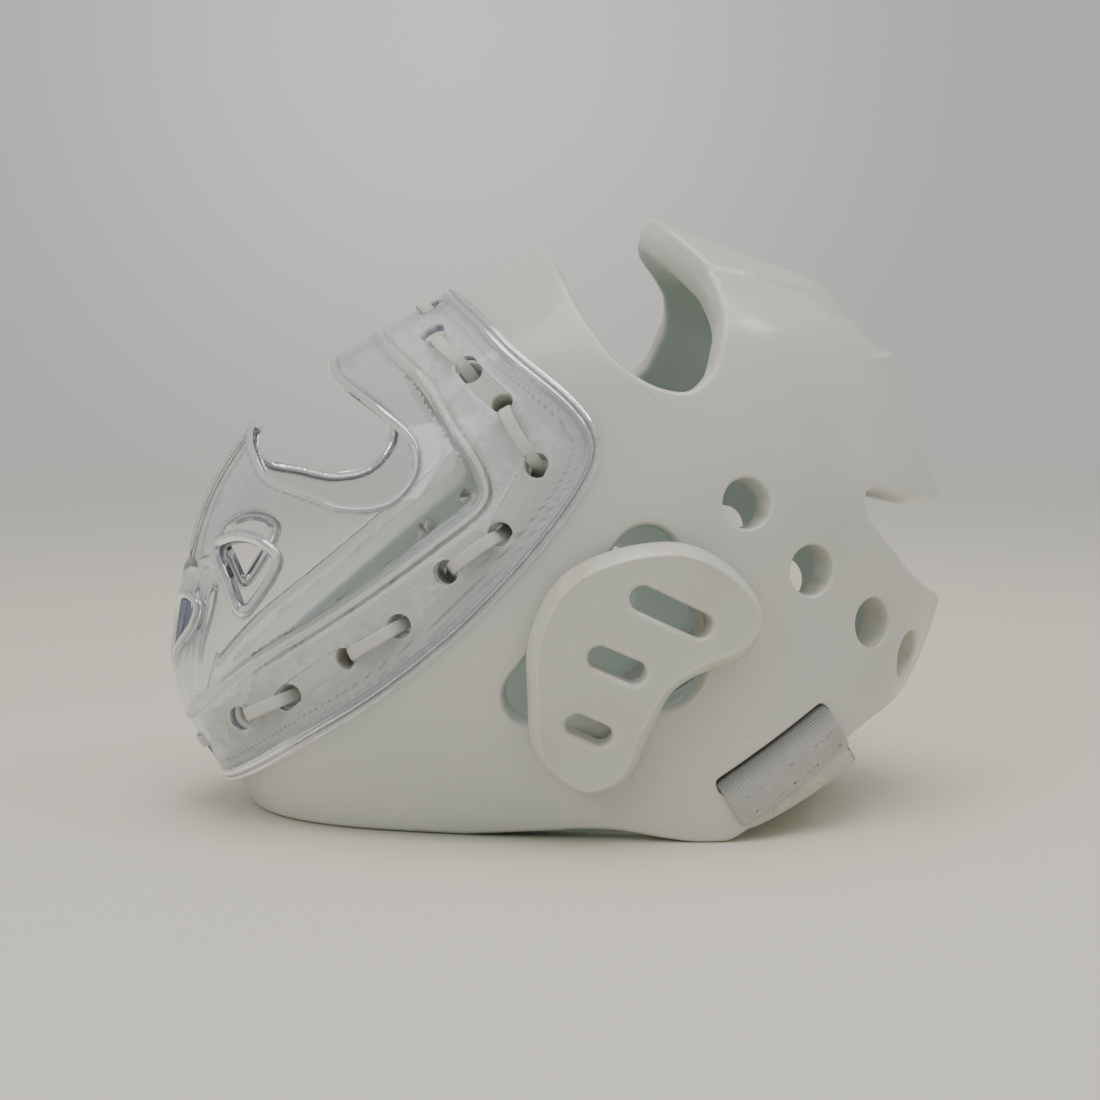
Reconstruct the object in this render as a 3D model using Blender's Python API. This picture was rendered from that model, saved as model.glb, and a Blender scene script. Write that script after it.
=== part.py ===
# A karate head guard: a dipped foam shell that wraps the head, a clear face
# shield laced onto it, an ear cover on each side and an elastic neck strap.
# Metres. +X is the wearer's left, the face looks along -Y, +Z is up, and the
# guard stands on its neck rim with the origin under the middle of its box.

import math

import bmesh
import bpy
import numpy as np
from mathutils import Vector
from mathutils.geometry import delaunay_2d_cdt

# Driving sizes
GUARD_LENGTH = 0.300
GUARD_WIDTH = 0.184
GUARD_HEIGHT = 0.229

FOAM = 0.014
FOAM_CHAMFER = 0.004
VENT_DIAMETER = 0.019

SHIELD_WALL = 0.003
SHIELD_GAP = 0.0012

EAR_COVER_WALL = 0.011
EAR_COVER_LIFT = 0.0045
EAR_COVER_CHAMFER = 0.003

LACE_HOLE = 0.009
LACE_HOLE_MARGIN = 0.0012
LACE_WIDTH = 0.0052
LACE_THICKNESS = 0.0012
LACE_BEND = 0.0024
LACE_CENTRE_REACH = 0.011
INNER_CLEARANCE = 0.0016

ELASTIC_WIDTH = 0.050
ELASTIC_THICKNESS = 0.0016
ELASTIC_FLAP = 0.0235
ELASTIC_TAB = 0.018
SLOT_WIDTH = 0.009
SLOT_MARGIN = 0.0025
SLOT_CORNER = 0.003
TAPE_THICKNESS = 0.0020
TAPE_SAG = 0.008

CLEARANCE = 0.0003

# Facet sizes
FOAM_FACET = 0.0145
SHIELD_FACET = 0.0125
COVER_FACET = 0.011
EDGE_STEP = 0.0105

HALF_LENGTH = GUARD_LENGTH / 2
HALF_WIDTH = GUARD_WIDTH / 2

# Horizontal sections of the outer surface, from the chin line up to a crown
# that the open top cuts away. height is a share of the guard's height, front
# and back are shares of its half length, and the last three are half widths
# near the front, in the middle and near the back, as shares of its half width.
SECTIONS = (
    # height, front, back, near_front, middle, near_back
    (-0.109, -0.724, 0.609, 0.500, 0.826, 0.913),
    (0.000, -0.822, 0.716, 0.565, 0.875, 0.946),
    (0.061, -0.874, 0.782, 0.587, 0.908, 0.924),
    (0.175, -0.971, 0.896, 0.620, 0.957, 0.859),
    (0.349, -0.969, 1.009, 0.652, 0.989, 0.750),
    (0.546, -0.891, 1.006, 0.630, 0.962, 0.717),
    (0.655, -0.771, 0.952, 0.598, 0.908, 0.658),
    (0.755, -0.578, 0.889, 0.554, 0.826, 0.565),
    (0.830, -0.374, 0.806, 0.500, 0.728, 0.478),
    (0.895, -0.204, 0.642, 0.413, 0.592, 0.391),
    (0.951, -0.044, 0.436, 0.293, 0.435, 0.283),
    (0.985, 0.053, 0.312, 0.217, 0.315, 0.207),
    (1.009, 0.097, 0.229, 0.141, 0.207, 0.141),
    (1.031, 0.160, 0.160, 0.000, 0.000, 0.000),
)

# Outlines seen from the side. along is a share of the half length, up is a
# share of the height. Each runs from the symmetry plane back to it.
FACE_RIM = (
    # along, up
    (-0.455, 0.800),
    (-0.387, 0.748),
    (-0.300, 0.657),
    (-0.243, 0.587),
    (-0.250, 0.545),
    (-0.367, 0.479),
    (-0.579, 0.372),
    (-0.785, 0.275),
    (-0.907, 0.200),
    (-0.965, 0.156),
)
CROWN_RIM = (
    (0.240, 1.007),
    (0.244, 1.001),
    (0.259, 0.984),
    (0.304, 0.945),
    (0.341, 0.890),
    (0.343, 0.822),
    (0.304, 0.755),
    (0.245, 0.728),
    (0.175, 0.734),
    (0.085, 0.770),
    (0.015, 0.832),
    (-0.029, 0.900),
    (-0.041, 0.936),
    (-0.045, 0.951),
)
NOTCH_RIM = (
    (1.029, 0.342),
    (0.888, 0.402),
    (0.780, 0.474),
    (0.722, 0.522),
    (0.728, 0.558),
    (0.806, 0.546),
    (0.895, 0.530),
    (1.031, 0.532),
)
NECK_RIM = (
    (-0.822, 0.000),
    (-0.500, 0.000),
    (-0.170, 0.000),
    (0.040, 0.020),
    (0.230, 0.004),
    (0.330, 0.000),
    (0.390, 0.020),
    (0.693, 0.155),
    (0.870, 0.190),
    (0.930, 0.200),
)
SHIELD_RIM = (
    (-0.305, 0.857),
    (-0.267, 0.823),
    (-0.118, 0.724),
    (-0.035, 0.668),
    (-0.019, 0.633),
    (-0.043, 0.593),
    (-0.153, 0.494),
    (-0.369, 0.345),
    (-0.586, 0.228),
    (-0.807, 0.120),
    (-0.880, 0.074),
)
EYE_RIM = (
    (-0.790, 0.642),
    (-0.801, 0.599),
    (-0.765, 0.562),
    (-0.687, 0.546),
    (-0.567, 0.527),
    (-0.472, 0.540),
    (-0.406, 0.590),
    (-0.408, 0.640),
    (-0.476, 0.685),
    (-0.567, 0.729),
    (-0.595, 0.755),
)
CHEEK_HOLE = (
    (-0.895, 0.461),
    (-0.862, 0.480),
    (-0.811, 0.487),
    (-0.763, 0.476),
    (-0.731, 0.449),
    (-0.777, 0.387),
    (-0.830, 0.348),
    (-0.871, 0.399),
)
# The breathing hole beside the middle bar, seen from the front: across is a
# share of the half width, up is a share of the height.
CHIN_HOLE = (
    # across, up
    (0.045, 0.360),
    (0.140, 0.376),
    (0.262, 0.362),
    (0.250, 0.325),
    (0.130, 0.275),
    (0.045, 0.245),
)
VENTS = (
    # along, up
    (0.384, 0.548),
    (0.558, 0.434),
    (0.739, 0.337),
    (0.865, 0.267),
)
LACE_HOLES = (
    # along, up
    (-0.349, 0.800),
    (-0.280, 0.754),
    (-0.207, 0.704),
    (-0.132, 0.611),
    (-0.224, 0.502),
    (-0.349, 0.442),
    (-0.460, 0.355),
    (-0.592, 0.297),
    (-0.732, 0.226),
    (-0.839, 0.186),
)
LACE_CENTRE_HEIGHTS = (0.838, 0.123)
EAR_CORNERS = (
    # along, up, radius as a share of the half length
    (0.123, 0.465, 0.080),
    (-0.145, 0.239, 0.075),
    (0.154, 0.298, 0.120),
)
# The ear cover's kidney outline about its hub: an angle in degrees from the
# back, turning up, and a reach as a share of the half length.
EAR_COVER_HUB = (0.079, 0.320)
EAR_COVER_REACH = (
    # angle, reach
    (-5.0, 0.226),
    (12.0, 0.338),
    (37.0, 0.324),
    (65.0, 0.275),
    (95.0, 0.235),
    (130.0, 0.228),
    (170.0, 0.235),
    (205.0, 0.264),
    (235.0, 0.322),
    (256.0, 0.353),
    (271.0, 0.312),
    (288.0, 0.192),
    (315.0, 0.136),
    (336.0, 0.150),
)
EAR_COVER_SLOTS = (
    # along and up of one end, along and up of the other, radius as a share
    (0.090, 0.416, 0.228, 0.364, 0.030),
    (-0.010, 0.321, 0.078, 0.293, 0.027),
    (-0.057, 0.213, 0.003, 0.193, 0.025),
)
# Where the ear cover lies on the shell: along, up, and the reach of the seat.
EAR_COVER_SEATS = (
    (0.010, 0.120, 0.130),
    (0.370, 0.365, 0.130),
)
STRAP_PLACE = (0.448, 0.160)
STRAP_ANGLE = 31.0

# The chart spreads the outer surface flat: its first coordinate is the angle
# round the head from the front, its second falls from the crown.
CHART_RADIUS = HALF_LENGTH * 0.667
CHART_FALL = GUARD_HEIGHT * 1.75
NEAR_SHARE = 0.7
NUDGE = 1e-5


def section_tables():
    crown = SECTIONS[-1][0]
    rows = sorted(SECTIONS, reverse=True)
    depth = np.array([math.sqrt(1 - row[0] / crown) for row in rows])
    lengths = np.array([[row[1], row[2]] for row in rows]) * HALF_LENGTH
    widths = np.array([row[3:] for row in rows]) * HALF_WIDTH
    return depth, np.hstack([lengths, widths])


DEPTHS, SECTION_VALUES = section_tables()
CROWN_HEIGHT = SECTIONS[-1][0] * GUARD_HEIGHT


def section_at(depth):
    # A smooth curve through the table's rows, by cubic pieces.
    gaps = np.diff(DEPTHS)
    steps = np.diff(SECTION_VALUES, axis=0) / gaps[:, None]
    slopes = np.zeros_like(SECTION_VALUES)
    before, after = gaps[:-1, None], gaps[1:, None]
    slopes[1:-1] = (steps[:-1] * after + steps[1:] * before) / (before + after)
    slopes[0] = 2 * steps[0] - slopes[1]
    slopes[-1] = 2 * steps[-1] - slopes[-2]
    index = np.clip(np.searchsorted(DEPTHS, depth, side="right") - 1, 0, len(gaps) - 1)
    gap = gaps[index][:, None]
    t = ((depth - DEPTHS[index]) / gaps[index])[:, None]
    start, end = SECTION_VALUES[index], SECTION_VALUES[index + 1]
    return (
        (2 * t**3 - 3 * t**2 + 1) * start
        + (t**3 - 2 * t**2 + t) * gap * slopes[index]
        + (3 * t**2 - 2 * t**3) * end
        + (t**3 - t**2) * gap * slopes[index + 1]
    )


def surface(chart):
    # The outer surface at points of the chart.
    chart = np.atleast_2d(chart)
    angle = chart[:, 0] / CHART_RADIUS
    depth = -chart[:, 1] / CHART_FALL
    front, back, near_front, middle, near_back = section_at(depth).T
    lean = math.sqrt(1 - NEAR_SHARE**2)
    near_front = near_front / lean
    near_back = near_back / lean
    tilt = (near_front - near_back) / (2 * NEAR_SHARE)
    bow = (near_front + near_back - 2 * middle) / (2 * NEAR_SHARE**2)
    cosine, sine = np.cos(angle), np.sin(angle)
    x = (middle + tilt * cosine + bow * cosine**2) * sine
    y = (front + back) / 2 - (back - front) / 2 * cosine
    z = CROWN_HEIGHT * (1 - depth**2)
    return np.stack([x, y, z], axis=1)


def slopes_of_surface(chart):
    across = surface(chart + [NUDGE, 0]) - surface(chart - [NUDGE, 0])
    down = surface(chart + [0, NUDGE]) - surface(chart - [0, NUDGE])
    return across / (2 * NUDGE), down / (2 * NUDGE)


def normals(chart):
    across, up = slopes_of_surface(chart)
    normal = np.cross(across, up)
    return normal / np.linalg.norm(normal, axis=1)[:, None]


def skin(chart, offset):
    # Points that stand off the outer surface, out of it where offset is positive.
    chart = np.atleast_2d(chart)
    return surface(chart) + normals(chart) * np.broadcast_to(offset, len(chart))[:, None]


def fall(height):
    return -CHART_FALL * np.sqrt(np.clip(1 - np.asarray(height) / CROWN_HEIGHT, 0, None))


def from_side(along, up):
    # The chart point seen from the side at a share of the length and height.
    level = fall(up * GUARD_HEIGHT)
    front, back = section_at(np.array([-level / CHART_FALL]))[0][:2]
    cosine = ((front + back) / 2 - along * HALF_LENGTH) / ((back - front) / 2)
    return np.array([math.acos(max(-1.0, min(1.0, cosine))) * CHART_RADIUS, level])


def from_front(across, height):
    # The chart point near the face's middle at a distance across.
    level = fall(height)
    point = np.array([[0.0, level]])
    for _ in range(6):
        slope = slopes_of_surface(point)[0][0][0]
        point[0, 0] += (across - surface(point)[0][0]) / slope
    return point[0]


def settle(points, start):
    # The chart points whose places on the surface lie nearest the given points.
    chart = np.array(start, dtype=float)
    for _ in range(5):
        across, up = slopes_of_surface(chart)
        miss = points - surface(chart)
        aa = (across * across).sum(1)
        uu = (up * up).sum(1)
        au = (across * up).sum(1)
        ma = (miss * across).sum(1)
        mu = (miss * up).sum(1)
        scale = aa * uu - au * au
        chart += np.stack([(ma * uu - mu * au) / scale, (mu * aa - ma * au) / scale], axis=1)
    return chart


def curve_through(knots, step, closed=False, mirror_start=True, mirror_end=True):
    # Points at even steps along a smooth curve through knots of the chart. An
    # end on the symmetry plane is met squarely where it is mirrored there.
    knots = np.array(knots, dtype=float)
    if closed:
        first, last = knots[-1], knots[1]
        knots = np.vstack([knots, knots[:1]])
    else:
        first = knots[0] * 2 - knots[1]
        last = knots[-1] * 2 - knots[-2]
        if mirror_start:
            first = np.array([2 * knots[0][0] - knots[1][0], knots[1][1]])
        if mirror_end:
            last = np.array([2 * knots[-1][0] - knots[-2][0], knots[-2][1]])
    line = np.vstack([[first], knots, [last]])
    spans = np.maximum(np.linalg.norm(np.diff(line, axis=0), axis=1), 1e-6) ** 0.5
    times = np.concatenate([[0], np.cumsum(spans)])
    fine = []
    for i in range(1, len(line) - 2):
        t0, t1, t2, t3 = times[i - 1 : i + 3]
        p0, p1, p2, p3 = line[i - 1 : i + 3]
        t = np.linspace(t1, t2, 17)[:-1, None]
        a1 = ((t1 - t) * p0 + (t - t0) * p1) / (t1 - t0)
        a2 = ((t2 - t) * p1 + (t - t1) * p2) / (t2 - t1)
        a3 = ((t3 - t) * p2 + (t - t2) * p3) / (t3 - t2)
        b1 = ((t2 - t) * a1 + (t - t0) * a2) / (t2 - t0)
        b2 = ((t3 - t) * a2 + (t - t1) * a3) / (t3 - t1)
        fine.append(((t2 - t) * b1 + (t - t1) * b2) / (t2 - t1))
    fine = np.vstack(fine + [line[-2:-1]])
    return even_steps(fine, step, closed)


def even_steps(fine, step, closed=False):
    places = surface(fine)
    lengths = np.concatenate([[0], np.cumsum(np.linalg.norm(np.diff(places, axis=0), axis=1))])
    count = max(3 if closed else 1, round(lengths[-1] / step))
    marks = np.linspace(0, lengths[-1], count + 1)
    points = np.stack([np.interp(marks, lengths, fine[:, k]) for k in (0, 1)], axis=1)
    return points[:-1] if closed else points


def seam(side, start_height, end_height, step):
    # The line where the two halves meet, at the front (0) or the back (1).
    levels = np.linspace(fall(start_height), fall(end_height), 65)
    return even_steps(np.stack([np.full(65, side * math.pi * CHART_RADIUS), levels], axis=1), step)


def side_knots(table, ends=(None, None)):
    # An outline's knots on the chart, its ends put on the symmetry plane.
    knots = [from_side(along, up) for along, up in table]
    for index, side in zip((0, -1), ends):
        if side is not None:
            knots[index][0] = side * math.pi * CHART_RADIUS
    return knots


def hull_outline(corners, step):
    # The line round a group of circles in the side view, as chart points.
    spots = []
    for angle in np.linspace(0, 2 * math.pi, 73)[:-1]:
        way = np.array([math.cos(angle), math.sin(angle)])
        reach = [y * way[0] + z * way[1] + r for y, z, r in corners]
        y, z, r = corners[int(np.argmax(reach))]
        spots.append(np.array([y, z]) + way * r)
    fine = []
    for spot, after in zip(spots, spots[1:] + spots[:1]):
        for share in np.linspace(0, 1, 9)[:-1]:
            along, up = spot + (after - spot) * share
            fine.append(from_side(along / HALF_LENGTH, up / GUARD_HEIGHT))
    return even_steps(np.array(fine + fine[:1]), step, True)


def round_hole(centre, diameter, count):
    # A circle square to the surface about a chart point.
    centre = np.array([centre])
    across, up = slopes_of_surface(centre)
    across = across[0] / np.linalg.norm(across[0])
    up = np.cross(normals(centre)[0], across)
    angles = np.arange(count) * 2 * math.pi / count
    ring = surface(centre) + diameter / 2 * (
        np.cos(angles)[:, None] * across + np.sin(angles)[:, None] * up
    )
    return settle(ring, np.repeat(centre, count, axis=0))


def is_inside(points, loop):
    inside = np.zeros(len(points), dtype=bool)
    ends = np.roll(loop, -1, axis=0)
    for (x0, y0), (x1, y1) in zip(loop, ends):
        if y0 == y1:
            continue
        level = (points[:, 1] > min(y0, y1)) & (points[:, 1] <= max(y0, y1))
        cross = x0 + (points[:, 1] - y0) * (x1 - x0) / (y1 - y0)
        inside ^= level & (points[:, 0] < cross)
    return inside


def inset_loop(loop, distance, closed, toward):
    # The loop moved sideways along the surface, toward the material.
    places = surface(loop)
    if closed:
        way = np.roll(places, -1, axis=0) - np.roll(places, 1, axis=0)
    else:
        way = np.gradient(places, axis=0)
        way[[0, -1]] = [1.0, 0.0, 0.0]
        way[[0, -1]] *= np.sign(places[[1, -1]] - places[[0, -2]])[:, :1]
    sideways = np.cross(normals(loop), way)
    sideways /= np.linalg.norm(sideways, axis=1)[:, None]
    moved = settle(places + sideways * distance * toward, loop)
    if not closed:
        moved[[0, -1], 0] = loop[[0, -1], 0]
    return moved


def fill(border, holes, spacing):
    # Triangles over a region of the chart, with its loops kept as they are.
    loops = [border] + holes
    edges = []
    points = []
    for loop in loops:
        first = len(points)
        points += [tuple(point) for point in loop]
        edges += [(first + i, first + (i + 1) % len(loop)) for i in range(len(loop))]
    rim = np.array(points)
    low, high = border.min(axis=0), border.max(axis=0)
    rows = np.arange(low[1], high[1], spacing * 0.87)
    grid = []
    for index, level in enumerate(rows):
        start = low[0] + spacing * (0.5 if index % 2 else 0.0)
        grid += [(a, level) for a in np.arange(start, high[0], spacing)]
    grid = np.array(grid)
    keep = is_inside(grid, border)
    for hole in holes:
        keep &= ~is_inside(grid, hole)
    grid = grid[keep]
    nearest = np.min(np.linalg.norm(grid[:, None] - rim[None], axis=2), axis=1)
    grid = grid[nearest > spacing * 0.55]
    everything = [Vector(point) for point in points] + [Vector(point) for point in grid]
    verts, _, faces, _, _, _ = delaunay_2d_cdt(everything, edges, [], 1, 1e-7)
    flat = np.array([tuple(vert) for vert in verts])
    faces = np.array([tuple(face) for face in faces])
    middles = flat[faces].mean(axis=1)
    keep = is_inside(middles, border)
    for hole in holes:
        keep &= ~is_inside(middles, hole)
    faces = faces[keep]
    a, b, c = (flat[faces[:, k]] for k in range(3))
    turn = (b[:, 0] - a[:, 0]) * (c[:, 1] - a[:, 1]) - (b[:, 1] - a[:, 1]) * (c[:, 0] - a[:, 0])
    faces[turn < 0] = faces[turn < 0][:, ::-1]
    return flat, faces


def open_edges(faces):
    count = {}
    for face in faces:
        for i in range(3):
            edge = (face[i], face[(i + 1) % 3])
            count[edge] = count.get(edge, 0) + 1
    return [edge for edge in count if (edge[1], edge[0]) not in count]


def panel(name, border, holes, outer, inner, spacing, rims=(), mirrored=False, inner_chart=None):
    # A closed body over a region of the surface, from one offset to another.
    # rims lists loops that were moved in for a chamfer, with their true lines.
    flat, faces = fill(border, holes, spacing)
    on_seam = np.zeros(len(flat), dtype=bool)
    if mirrored:
        on_seam = (np.abs(flat[:, 0]) < 1e-6) | (np.abs(flat[:, 0] - math.pi * CHART_RADIUS) < 1e-6)
    low_flat = flat if inner_chart is None else inner_chart(flat)
    top = skin(flat, outer(flat))
    bottom = skin(low_flat, inner(flat))
    walls = []
    true_line = {}
    for moved, rim in rims:
        for spot, edge_spot in zip(moved, rim):
            index = int(np.argmin(np.linalg.norm(flat - spot, axis=1)))
            true_line[index] = edge_spot
    rim_keys = sorted(true_line)
    rim_chart = np.array([true_line[key] for key in rim_keys]) if rim_keys else np.zeros((0, 2))
    high_rim = np.zeros((0, 3))
    low_rim = np.zeros((0, 3))
    if rim_keys:
        at = flat[rim_keys]
        chamfer = np.linalg.norm(surface(rim_chart) - surface(at), axis=1)
        high_rim = skin(rim_chart, outer(at) - chamfer)
        low_rim = skin(rim_chart, inner(at) + chamfer)
    size = len(flat)
    places = np.vstack([top, bottom, high_rim, low_rim])
    rim_high = {key: 2 * size + i for i, key in enumerate(rim_keys)}
    rim_low = {key: 2 * size + len(rim_keys) + i for i, key in enumerate(rim_keys)}
    polygons = [tuple(face) for face in faces]
    polygons += [tuple(face[::-1] + size) for face in faces]
    for i, j in open_edges(faces):
        if mirrored and on_seam[i] and on_seam[j] and abs(flat[i, 0] - flat[j, 0]) < 1e-6:
            continue
        if i in rim_high and j in rim_high:
            walls += [
                (j, i, rim_high[i], rim_high[j]),
                (rim_high[j], rim_high[i], rim_low[i], rim_low[j]),
                (rim_low[j], rim_low[i], i + size, j + size),
            ]
        else:
            walls.append((j, i, i + size, j + size))
    polygons += walls
    seam_all = np.concatenate([on_seam, on_seam, on_seam[rim_keys], on_seam[rim_keys]])
    places[seam_all, 0] = 0.0
    if mirrored:
        places, polygons = mirror_body(places, polygons, seam_all)
    return make_object(name, places, polygons)


def mirror_body(places, polygons, on_seam):
    size = len(places)
    twin = np.arange(size)
    free = np.flatnonzero(~on_seam)
    twin[free] = size + np.arange(len(free))
    places = np.vstack([places, places[free] * [-1.0, 1.0, 1.0]])
    polygons = polygons + [tuple(int(twin[i]) for i in polygon[::-1]) for polygon in polygons]
    return places, polygons


def make_object(name, places, polygons):
    mesh = bpy.data.meshes.new(name)
    mesh.from_pydata([tuple(place) for place in places], [], [list(map(int, p)) for p in polygons])
    body = bmesh.new()
    body.from_mesh(mesh)
    bmesh.ops.triangulate(body, faces=body.faces)
    bmesh.ops.dissolve_degenerate(body, dist=1e-6, edges=body.edges)
    bmesh.ops.recalc_face_normals(body, faces=body.faces)
    body.to_mesh(mesh)
    body.free()
    mesh.shade_smooth()
    mesh.set_sharp_from_angle(angle=math.radians(35))
    thing = bpy.data.objects.new(name, mesh)
    bpy.context.scene.collection.objects.link(thing)
    return thing


def mirror_object(thing, name):
    places = np.array([tuple(vert.co) for vert in thing.data.vertices]) * [-1.0, 1.0, 1.0]
    polygons = [tuple(polygon.vertices)[::-1] for polygon in thing.data.polygons]
    return make_object(name, places, polygons)


def ribbon(name, rows, thickness, closed=False):
    # A band of even thickness over a net of points, rows along its length.
    rows = np.array(rows)
    count, width = rows.shape[:2]
    along = np.gradient(rows, axis=0)
    if closed:
        along = np.roll(rows, -1, axis=0) - np.roll(rows, 1, axis=0)
    across = np.gradient(rows, axis=1)
    normal = np.cross(along, across)
    normal /= np.linalg.norm(normal, axis=2)[:, :, None]
    top = (rows + normal * thickness / 2).reshape(-1, 3)
    bottom = (rows - normal * thickness / 2).reshape(-1, 3)
    size = count * width
    polygons = []
    last = count if closed else count - 1
    for i in range(last):
        k = (i + 1) % count
        for j in range(width - 1):
            corners = [i * width + j, i * width + j + 1, k * width + j + 1, k * width + j]
            polygons.append(tuple(corners))
            polygons.append(tuple(corner + size for corner in corners[::-1]))
        for j, flip in ((0, False), (width - 1, True)):
            side = [i * width + j, k * width + j, k * width + j + size, i * width + j + size]
            polygons.append(tuple(side[::-1] if flip else side))
    if not closed:
        for i, flip in ((0, True), (count - 1, False)):
            for j in range(width - 1):
                side = [i * width + j, i * width + j + 1, i * width + j + 1 + size, i * width + j + size]
                polygons.append(tuple(side[::-1] if flip else side))
    return make_object(name, np.vstack([top, bottom]), polygons)


def face_rim(step):
    return curve_through(side_knots(FACE_RIM, (0, 0)), step)


def keep_off(spots, line, distance):
    # Chart points, moved straight away from a line where they lie too near it.
    places = surface(spots)
    away = places[:, None] - surface(line)[None]
    reach = np.linalg.norm(away, axis=2)
    nearest = np.argmin(reach, axis=1)
    order = np.arange(len(spots))
    reach = reach[order, nearest][:, None]
    away = away[order, nearest] / reach
    return settle(places + away * np.maximum(distance - reach, 0.0), spots)


def lace_spots():
    # The lace holes of one half, from the forehead round to the chin.
    brow, chin = (height * GUARD_HEIGHT for height in LACE_CENTRE_HEIGHTS)
    spots = [from_front(LACE_CENTRE_REACH, brow)]
    spots += [from_side(along, up) for along, up in LACE_HOLES]
    spots.append(from_front(LACE_CENTRE_REACH, chin))
    distance = FOAM_CHAMFER + LACE_HOLE_MARGIN + LACE_HOLE / 2
    return keep_off(np.array(spots), face_rim(LACE_HOLE / 9), distance)


def strap_spot(along, across):
    # A chart point by the strap's slot: along the slot, and across it toward the nape.
    turn = math.radians(STRAP_ANGLE)
    y = STRAP_PLACE[0] * HALF_LENGTH + along * math.cos(turn) + across * math.sin(turn)
    z = STRAP_PLACE[1] * GUARD_HEIGHT + along * math.sin(turn) - across * math.cos(turn)
    return from_side(y / HALF_LENGTH, z / GUARD_HEIGHT)


def slot_outline():
    turn = math.radians(STRAP_ANGLE)
    half_length = ELASTIC_WIDTH / 2 + SLOT_MARGIN - SLOT_CORNER
    half_width = SLOT_WIDTH / 2 - SLOT_CORNER
    corners = []
    for along in (-half_length, half_length):
        for across in (-half_width, half_width):
            y = STRAP_PLACE[0] * HALF_LENGTH + along * math.cos(turn) + across * math.sin(turn)
            z = STRAP_PLACE[1] * GUARD_HEIGHT + along * math.sin(turn) - across * math.cos(turn)
            corners.append((y, z, SLOT_CORNER))
    return hull_outline(corners, SLOT_WIDTH * 0.45)


def material(name, colour, roughness, metallic=0.0):
    finish = bpy.data.materials.new(name)
    finish.use_nodes = True
    shader = finish.node_tree.nodes["Principled BSDF"]
    shader.inputs["Base Color"].default_value = (*colour, 1.0)
    shader.inputs["Roughness"].default_value = roughness
    shader.inputs["Metallic"].default_value = metallic
    return finish


def level_rim(flat, neck):
    # The inner surface's chart points, let down at the neck rim so that the
    # rim's face is level where the guard stands on it.
    moved = flat.copy()
    distance = np.min(np.linalg.norm(flat[:, None] - neck[None], axis=2), axis=1)
    heights = surface(flat)[:, 2]
    rim = (distance < 1e-6) & (heights < 0.06 * GUARD_HEIGHT)
    for _ in range(6):
        spots = moved[rim]
        miss = heights[rim] - skin(spots, -FOAM)[:, 2]
        rise = slopes_of_surface(spots)[1][:, 2]
        moved[rim, 1] += miss / rise
    return moved


def build_shell():
    neck = curve_through(side_knots(NECK_RIM, (0, 1)), EDGE_STEP * 1.4)
    neck[:, 1] = np.maximum(neck[:, 1], fall(0.0))
    notch = curve_through(side_knots(NOTCH_RIM, (1, 1)), EDGE_STEP)
    crown = curve_through(side_knots(CROWN_RIM, (1, 0)), EDGE_STEP)
    face = face_rim(EDGE_STEP)
    rims = []
    for line in (notch, crown, face):
        rims.append((inset_loop(line, FOAM_CHAMFER, False, 1), line))
    notch_in, crown_in, face_in = (moved for moved, _ in rims)
    ends = [surface(line[[0, -1]])[:, 2] for line in (neck, notch_in, crown_in, face_in)]
    border = np.vstack(
        [
            neck[:-1],
            seam(1, ends[0][1], ends[1][0], FOAM_FACET)[:-1],
            notch_in[:-1],
            seam(1, ends[1][1], ends[2][0], FOAM_FACET)[:-1],
            crown_in[:-1],
            seam(0, ends[2][1], ends[3][0], FOAM_FACET)[:-1],
            face_in[:-1],
            seam(0, ends[3][1], ends[0][0], FOAM_FACET)[:-1],
        ]
    )
    corners = [(a * HALF_LENGTH, u * GUARD_HEIGHT, r * HALF_LENGTH) for a, u, r in EAR_CORNERS]
    ear = hull_outline(corners, EDGE_STEP)
    ear_in = inset_loop(ear, FOAM_CHAMFER, True, -1)
    rims.append((ear_in, ear))
    holes = [ear_in, slot_outline()]
    holes += [round_hole(from_side(a, u), VENT_DIAMETER, 12) for a, u in VENTS]
    holes += [round_hole(spot, LACE_HOLE, 8) for spot in lace_spots()]
    shell = panel(
        "shell",
        border,
        holes,
        lambda flat: np.zeros(len(flat)),
        lambda flat: np.full(len(flat), -FOAM),
        FOAM_FACET,
        rims,
        mirrored=True,
        inner_chart=lambda flat: level_rim(flat, neck),
    )
    shell.data.materials.append(material("dipped_foam", (0.50, 0.49, 0.45), 0.35))
    return shell


def build_shield():
    rim = curve_through(side_knots(SHIELD_RIM, (0, 0)), EDGE_STEP)
    eye = curve_through(side_knots(EYE_RIM, (0, 0)), EDGE_STEP * 0.8, mirror_start=False)
    ends = [surface(line[[0, -1]])[:, 2] for line in (rim, eye)]
    border = np.vstack(
        [
            rim[:-1],
            seam(0, ends[0][1], ends[1][0], SHIELD_FACET)[:-1],
            eye[:-1],
            seam(0, ends[1][1], ends[0][0], SHIELD_FACET)[:-1],
        ]
    )
    cheek = curve_through(side_knots(CHEEK_HOLE), EDGE_STEP * 0.8, closed=True)
    chin_knots = [from_front(a * HALF_WIDTH, u * GUARD_HEIGHT) for a, u in CHIN_HOLE]
    chin = curve_through(chin_knots, EDGE_STEP * 0.8, closed=True)
    holes = [cheek, chin]
    holes += [round_hole(spot, LACE_HOLE, 8) for spot in lace_spots()]
    shield = panel(
        "face_shield",
        border,
        holes,
        lambda flat: np.full(len(flat), SHIELD_GAP + SHIELD_WALL),
        lambda flat: np.full(len(flat), SHIELD_GAP),
        SHIELD_FACET,
        mirrored=True,
    )
    shield.data.materials.append(material("clear_polycarbonate", (0.75, 0.78, 0.85), 0.05))
    return shield


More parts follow.
